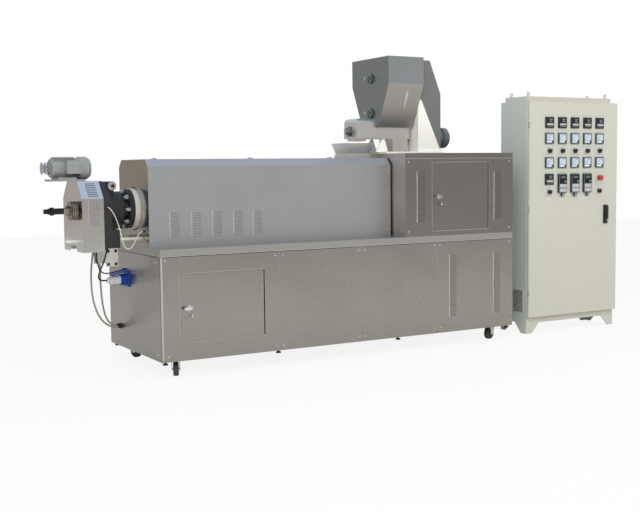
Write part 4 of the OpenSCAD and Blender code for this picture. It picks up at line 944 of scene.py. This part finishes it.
class EXTRUDER_OT_instruments(bpy.types.Operator):
    """Fit the controllers, meters, selectors and keypads of the cabinet's door"""

    bl_idname = "extruder.instruments"
    bl_label = "Instruments"

    def execute(self, context):
        face = DOOR_Y - 9

        # Dial meters: frame, card, scale, needle and the dark cover of the pivot
        bm = bmesh.new()
        for x, z in [(x, z) for x in METER_X for z in (1430, 1253)]:
            place = seat(x, face, z)
            put(bm, block(80, 80, 2, 1.2, 2), place, skin=0)
            card = place @ shift(0, 0, 1.6)
            put(bm, block(60, 60, 2, 0.6, 1), card, skin=1)
            put(bm, block(58, 13, 0.3, 0.1, 1), card @ shift(0, -22, 2), skin=3)
            put(bm, block(28, 3, 0.5, 0.1, 1), card @ shift(-10, -18, 2), skin=2)
            pivot = card @ shift(22, -22, 0)
            put(bm, lathe([(0, 3), (7, 3), (8, 2), (8, 0)], 20), pivot @ shift(0, 0, 1), skin=2)
            for k in range(9):
                tall, reach = (6, 46) if k % 4 else (9, 44)
                put(bm, block(1.6, tall, 0.4, 0.1, 1),
                    pivot @ turn(8 + 74 * k / 8) @ shift(0, reach, 2), skin=2)
            put(bm, block(1.4, 44, 0.5, 0.1, 1), pivot @ turn(76) @ shift(0, 22, 2.2), skin=2)
        piece("dial_meters", bm, ["Slate keypad frame", "Meter card", "Dial ink",
                                  "White polyamide"], "cabinet_door")

        # Controllers: a window with two bars, a pale strip and a row of keys
        bm = bmesh.new()
        for x, z in [(x, 1545) for x in METER_X] + [(METER_X[0], 1132)]:
            place = seat(x, face, z)
            put(bm, block(74, 74, 2.5, 1.2, 2), place, skin=0)
            put(bm, block(58, 34, 1, 0.3, 1), place @ shift(0, 14, 2.5), skin=1)
            for row, wide in ((22, 30), (8, 26)):
                put(bm, block(wide, 8, 0.5, 0.1, 1), place @ shift(6, row, 3.4), skin=2)
            put(bm, block(60, 12, 1.2, 0.4, 1), place @ shift(0, -13, 2.5), skin=3)
            put(bm, block(11, 7, 1.2, 0.4, 1), *[
                place @ shift(-21 + 14 * k, -26, 2.6) for k in range(4)
            ], skin=2)
        piece("controllers", bm, ["Black moulded plastic", "Display window", "Display digits",
                                  "Grey keys"], "cabinet_door")

        # Drive keypads: window, dial and three rows of keys, one of them red
        bm = bmesh.new()
        for x in METER_X[1:4]:
            place = seat(x, DOOR_Y - 15, 1101)
            put(bm, block(78, 138, 3, 1.5, 2), place, skin=0)
            put(bm, block(70, 66, 1.2, 0.4, 1), place @ shift(0, 30, 3), skin=1)
            put(bm, block(44, 16, 0.5, 0.1, 1), place @ shift(-2, 44, 4.2), skin=0)
            put(bm, lathe([(0, 8), (7, 8), (9, 6), (9, 0), (0, 0)], 20),
                place @ shift(18, 12, 3), skin=2)
            put(bm, block(66, 56, 0.8, 0.3, 1), place @ shift(0, -35, 2.7), skin=3)
            for k, row in [(k, row) for k in range(3) for row in range(3)]:
                red = (k, row) == (2, 1)
                put(bm, block(17, 11, 1.6, 0.6, 1),
                    place @ shift(-21 + 21 * k, -18 - 17 * row, 3),
                    skin=4 if red else 2 if row == 1 else 3)
        piece("drive_keypads", bm, ["Slate keypad frame", "Display window", "Display digits",
                                    "Grey keys", "Red key"], "cabinet_door")

        # Selectors: bezel, pointer bar with a pale line, and three marks on the door
        bm = bmesh.new()
        spots = [(x, 1338) for x in METER_X] + [(METER_X[0], 1038), (METER_X[4], 1038)]
        marks = (-40, 0, 40)
        put(bm, lathe([(15.2, 0), (21, 0), (21, 2), (18, 5), (15.2, 5), (15.2, 0)], 28),
            *[seat(x, DOOR_Y, z) for x, z in spots], skin=1)
        put(bm, block(9, 34, 9, 2, 2),
            *[seat(x, DOOR_Y - 21, z, roll=marks[0]) for x, z in spots], skin=0)
        put(bm, block(2, 12, 0.6, 0.2, 1), *[
            seat(x, DOOR_Y - 30, z, roll=marks[0]) @ shift(0, 10, 0) for x, z in spots
        ], skin=2)
        put(bm, block(2, 6, 0.5, 0.1, 1), *[
            seat(x, DOOR_Y, z, roll=a) @ shift(0, 30, 0) for x, z in spots for a in marks
        ], skin=3)
        # Speed knobs: collar, cap with a dark line, and eleven smaller marks
        knobs, z = METER_X[1:4], 1014
        put(bm, lathe([(12.9, 0), (17, 0), (17, 1.5), (15, 3), (12.9, 3), (12.9, 0)], 24),
            *[seat(x, DOOR_Y, z) for x in knobs], skin=1)
        put(bm, lathe([(0, 2.5), (9, 2.5), (10.5, 1), (10.5, 0), (0, 0)], 24),
            *[seat(x, DOOR_Y - 17.6, z) for x in knobs], skin=1)
        put(bm, block(2, 12, 0.6, 0.2, 1),
            *[seat(x, DOOR_Y - 20, z, roll=-30) @ shift(0, 4, 0) for x in knobs], skin=3)
        put(bm, block(2, 6, 0.5, 0.1, 1), *[
            seat(x, DOOR_Y, z, roll=150 - 30 * k) @ Matrix.Scale(0.7, 4) @ shift(0, 30, 0)
            for x in knobs for k in range(11)
        ], skin=3)
        piece("selector_trim", bm, ["Black moulded plastic", "Chromed steel", "Label card",
                                    "Dial ink"], "cabinet_door")

        # Stop button: steel collar and the crown of its cap
        bm = bmesh.new()
        x, z = METER_X[4], 1136.5
        put(bm, lathe([(12.5, 0), (24, 0), (24, 3), (20, 7), (12.5, 7), (12.5, 0)], 28),
            seat(x, DOOR_Y, z), skin=0)
        put(bm, lathe([(0, 2.4), (9, 2.4), (15, 1.4), (19, -1), (19.4, -3)], 28),
            seat(x, DOOR_Y - 32, z), skin=1)
        piece("stop_trim", bm, ["Chromed steel", "Red moulded plastic"], "cabinet_door")

        # Bare label strips under the rows
        bm = bmesh.new()
        put(bm, block(46, 9, 0.5, 0.2, 1),
            *[seat(x, DOOR_Y, z) for x in METER_X for z in (1375, 1302, 1199)],
            *[seat(x, DOOR_Y, 988) for x in METER_X[:4]])
        piece("label_strips", bm, ["Label card"], "cabinet_door")
        return {"FINISHED"}


class EXTRUDER_OT_cabinet(bpy.types.Operator):
    """Fit the handle's lever, vents, seal, doorway lips, painted edge highlights and latch keys"""

    bl_idname = "extruder.cabinet"
    bl_label = "Handles, seals and vents"

    def execute(self, context):
        bm = bmesh.new()
        x, z = 3627, 817
        put(bm, block(20, 92, 5, 2, 2), seat(x, DOOR_Y - 22, z + 56), skin=0)
        put(bm, lathe([(0, 3), (5.5, 3), (6.5, 2), (6.5, 0), (0, 0)], 20),
            seat(x, DOOR_Y - 22, z), skin=1)
        put(bm, block(2, 8, 0.5, 0.2, 1), seat(x, DOOR_Y - 25, z), skin=2)
        piece("handle_lever", bm, ["Black moulded plastic", "Chromed steel", "Dial ink"],
              "cabinet_door")

        # Side vent: a frame with slats over a dark sheet of painted shade, on the cabinet's side
        # and likewise on the other
        bm = bmesh.new()
        for x, facing in ((CABINET_LEFT, "left"), (CABINET_RIGHT, "right")):
            place = seat(x, 177, 238, facing)
            put(bm, block(124, 178, 3, 1.2, 2), place, skin=0)
            put(bm, block(104, 158, 1.2, 0.4, 1), place @ shift(0, 0, 2.4), skin=1)
            put(bm, block(104, 4, 2.4, 0.8, 1), *[
                place @ shift(0, -72 + 9 * k, 2.6) for k in range(17)
            ], skin=0)
        piece("cabinet_vents", bm, ["Beige powder coat", "Shadowed slit"], "frame")

        # Lips of the two doorways in the sheet, clear of the leaves: pale strips of painted
        # highlight along the doorways' edges
        for name, slot, x0, x1, z0, z1 in (
            ("base_doorway", "stainless", 120, 686, 205, 619),
            ("housing_doorway", "stainless_dark", 1958, 2449, 796, 1264),
        ):
            bm = bmesh.new()
            wide, tall, lip = x1 - x0, z1 - z0, 3.5
            x, z = x0 + wide / 2, z0 + tall / 2
            put(bm, block(lip, tall, 3.8, 0.4, 1), seat(x0 + lip / 2, 4, z))
            put(bm, block(2.2, tall, 3.8, 0.4, 1), seat(x1 - 1.1, 4, z))
            put(bm, block(wide, lip, 3.8, 0.4, 1), seat(x, 4, z0 + lip / 2),
                seat(x, 4, z1 - lip / 2))
            piece(name, bm, ["Pale edge highlight"], "frame")

        # Painted highlights along the edges under the lid and the deck's rim, the corner fold and
        # the panel joints
        bm = bmesh.new()
        put(bm, block(920, 2.4, 1.2, 0.3, 1), seat(2201, 0, 1288))
        put(bm, block(BASE_LONG - 4, 2.8, 1.2, 0.3, 1), seat(BASE_LONG / 2, 0, 723.5))
        tall, z = 606, 415
        put(bm, block(11, tall, 0.8, 0.3, 1), seat(7, 0, z))
        put(bm, block(1.8, tall, 1.6, 0.3, 1), *[seat(x, 1.4, z) for x in (787, 1393, 1998)])
        piece("edge_highlights", bm, ["Pale edge highlight"], "frame")

        # Seal round the cabinet's doorway, paler than rubber: painted light that lifts the shade
        # of the gap
        bm = bmesh.new()
        left, right, low, high, y = CABINET_LEFT + 4, CABINET_RIGHT - 4, 130, 1690, 91
        x, z = (left + right) / 2, (low + high) / 2
        put(bm, block(6, high - low + 6, 4, 1, 2), seat(left, y, z), seat(right, y, z))
        put(bm, block(right - left, 6, 4, 1, 2), seat(x, y, low), seat(x, y, high))
        piece("cabinet_seal", bm, ["Rubber seal in painted light"], "frame")

        # Lock faces and a key on each hinged door of the machine
        for name, body, x, z in (
            ("base_latch_key", "base_door", 173, 412),
            ("housing_latch_key", "housing_door", 2011, 1030),
        ):
            bm = bmesh.new()
            lock = seat(x + 24, -8, z - 48)
            put(bm, lathe([(0, 1.5), (7, 1.5), (9, 0.5), (9, -1)], 20), lock, skin=0)
            put(bm, block(2, 9, 0.5, 0.1, 1), lock @ shift(0, 0, 1.4), skin=1)
            put(bm, block(2.4, 8, 26, 0.5, 1), lock, skin=0)
            put(bm, lathe([
                (4, -1.2), (11, -1.2), (12, 0), (11, 1.2), (4, 1.2), (4, -1.2),
            ], 20), lock @ shift(0, -6, 30) @ turn(90, "Y"), skin=0)
            rose = seat(x, -6, z)
            put(bm, sheet_screw(3), rose @ shift(0, 12, 0), rose @ shift(0, -12, 0), skin=0)
            piece(name, bm, ["Chromed steel", "Dial ink"], body)
        return {"FINISHED"}


# Stage

class EXTRUDER_OT_stage(bpy.types.Operator):
    """Set the floor, the soft light and the camera"""

    bl_idname = "extruder.stage"
    bl_label = "Stage"

    def execute(self, context):
        scene = context.scene
        s = scene.extruder_stage
        scene.view_settings.view_transform = "Standard"

        yaw, pitch, roll = (math.radians(a) for a in LOOK)
        ahead = Vector((math.sin(yaw) * math.cos(pitch), math.cos(yaw) * math.cos(pitch),
                        math.sin(pitch)))
        level = Vector((math.cos(yaw), -math.sin(yaw), 0))
        upright = level.cross(ahead)
        right = math.cos(roll) * level + math.sin(roll) * upright
        up = -math.sin(roll) * level + math.cos(roll) * upright
        camera = bpy.data.cameras.new("camera")
        camera.lens = s.lens
        camera.sensor_width = 36
        camera.sensor_fit = "HORIZONTAL"
        camera.clip_end = 100
        stand = bpy.data.objects.new("camera", camera)
        stand.matrix_world = Matrix.Translation(at(*STAND)) @ Matrix(
            (right, up, -ahead)).transposed().to_4x4()
        scene.collection.objects.link(stand)
        scene.camera = stand

        # Pale painted floor: white to the camera, with the machine's soft shadow
        tree, shader, _ = start("Pale painted floor", Roughness=0.7)
        shader.inputs["Base Color"].default_value = (*linear("#F2F1EE"), 1)
        ray = add(tree, "ShaderNodeLightPath")
        glow = add(tree, "ShaderNodeEmission", {"Color": (1, 1, 1, 1), "Strength": 1})
        pale = add(tree, "ShaderNodeMath", {
            0: ray.outputs["Is Camera Ray"], 1: 0.88,
        }, operation="MULTIPLY")
        mixed = add(tree, "ShaderNodeMixShader", {
            0: pale.outputs[0], 1: shader.outputs[0], 2: glow.outputs[0],
        })
        tree.links.new(mixed.outputs[0], tree.nodes["Material Output"].inputs["Surface"])
        bm = bmesh.new()
        bmesh.ops.create_grid(bm, x_segments=4, y_segments=4, size=s.floor)
        mesh = bpy.data.meshes.new("floor")
        bm.to_mesh(mesh)
        bm.free()
        mesh.materials.append(bpy.data.materials["Pale painted floor"])
        floor = bpy.data.objects.new("floor", mesh)
        scene.collection.objects.link(floor)

        # World: white to the camera; metal mirrors a pale room that is cooler overhead
        world = bpy.data.worlds.new("studio")
        scene.world = world
        world.use_nodes = True
        tree = world.node_tree
        tree.nodes.clear()
        ray = add(tree, "ShaderNodeLightPath")
        direction = add(tree, "ShaderNodeTexCoord").outputs["Generated"]
        height = add(tree, "ShaderNodeSeparateXYZ", {"Vector": direction})
        room = add(tree, "ShaderNodeValToRGB", {"Fac": height.outputs[2]}, [
            (0.0, (*linear("#B9B3AB"), 1)), (0.75, (*linear("#CFE0FA"), 1)),
        ])
        mirrored = add(tree, "ShaderNodeBackground", {"Color": room.outputs[0], "Strength": 1})
        plain = add(tree, "ShaderNodeBackground", {
            "Color": (1, 1, 1, 1), "Strength": s.surround,
        })
        white = add(tree, "ShaderNodeBackground", {"Color": (1, 1, 1, 1), "Strength": 1})
        shiny = add(tree, "ShaderNodeMath", {
            0: ray.outputs["Is Glossy Ray"], 1: ray.outputs["Is Transmission Ray"],
        }, operation="MAXIMUM")
        light = add(tree, "ShaderNodeMixShader", {
            0: shiny.outputs[0], 1: plain.outputs[0], 2: mirrored.outputs[0],
        })
        seen = add(tree, "ShaderNodeMixShader", {
            0: ray.outputs["Is Camera Ray"], 1: light.outputs[0], 2: white.outputs[0],
        })
        add(tree, "ShaderNodeOutputWorld", {"Surface": seen.outputs[0]})

        middle = at(1300, 450, 800)
        for name, spot, size, watts in (
            ("key", (-1200, -4200, 4600), 4.0, s.key),
            ("fill", (4800, -3600, 3600), 4.0, s.fill),
        ):
            lamp = bpy.data.lights.new(name, "AREA")
            lamp.shape = "DISK"
            lamp.size = size
            lamp.energy = watts
            obj = bpy.data.objects.new(name, lamp)
            aim = middle - at(*spot)
            obj.matrix_world = Matrix.Translation(at(*spot)) @ aim.to_track_quat(
                "-Z", "Y").to_matrix().to_4x4()
            obj.visible_glossy = False
            scene.collection.objects.link(obj)
        return {"FINISHED"}


class EXTRUDER_PT_panel(bpy.types.Panel):
    """Steps that dress the extruder"""

    bl_idname = "EXTRUDER_PT_panel"
    bl_label = "Snack Food Extruder"
    bl_space_type = "VIEW_3D"
    bl_region_type = "UI"
    bl_category = "Extruder"

    def draw(self, context):
        for step in STEPS:
            self.layout.operator(step.bl_idname)


STEPS = (
    EXTRUDER_OT_finishes,
    EXTRUDER_OT_stage,
    EXTRUDER_OT_leads,
    EXTRUDER_OT_louvres,
    EXTRUDER_OT_screws,
    EXTRUDER_OT_cutter,
    EXTRUDER_OT_feeder,
    EXTRUDER_OT_instruments,
    EXTRUDER_OT_cabinet,
)
SETTINGS = {
    "extruder_colours": ExtruderColours,
    "extruder_sizes": ExtruderSizes,
    "extruder_stage": ExtruderStage,
}


def register():
    for cls in (*SETTINGS.values(), *STEPS, EXTRUDER_PT_panel):
        bpy.utils.register_class(cls)
    for name, cls in SETTINGS.items():
        setattr(bpy.types.Scene, name, PointerProperty(type=cls))


def unregister():
    for name in SETTINGS:
        delattr(bpy.types.Scene, name)
    for cls in reversed((*SETTINGS.values(), *STEPS, EXTRUDER_PT_panel)):
        bpy.utils.unregister_class(cls)


def main():
    register()
    for step in STEPS:
        group, name = step.bl_idname.split(".")
        getattr(getattr(bpy.ops, group), name)()


if __name__ == "__main__":
    main()
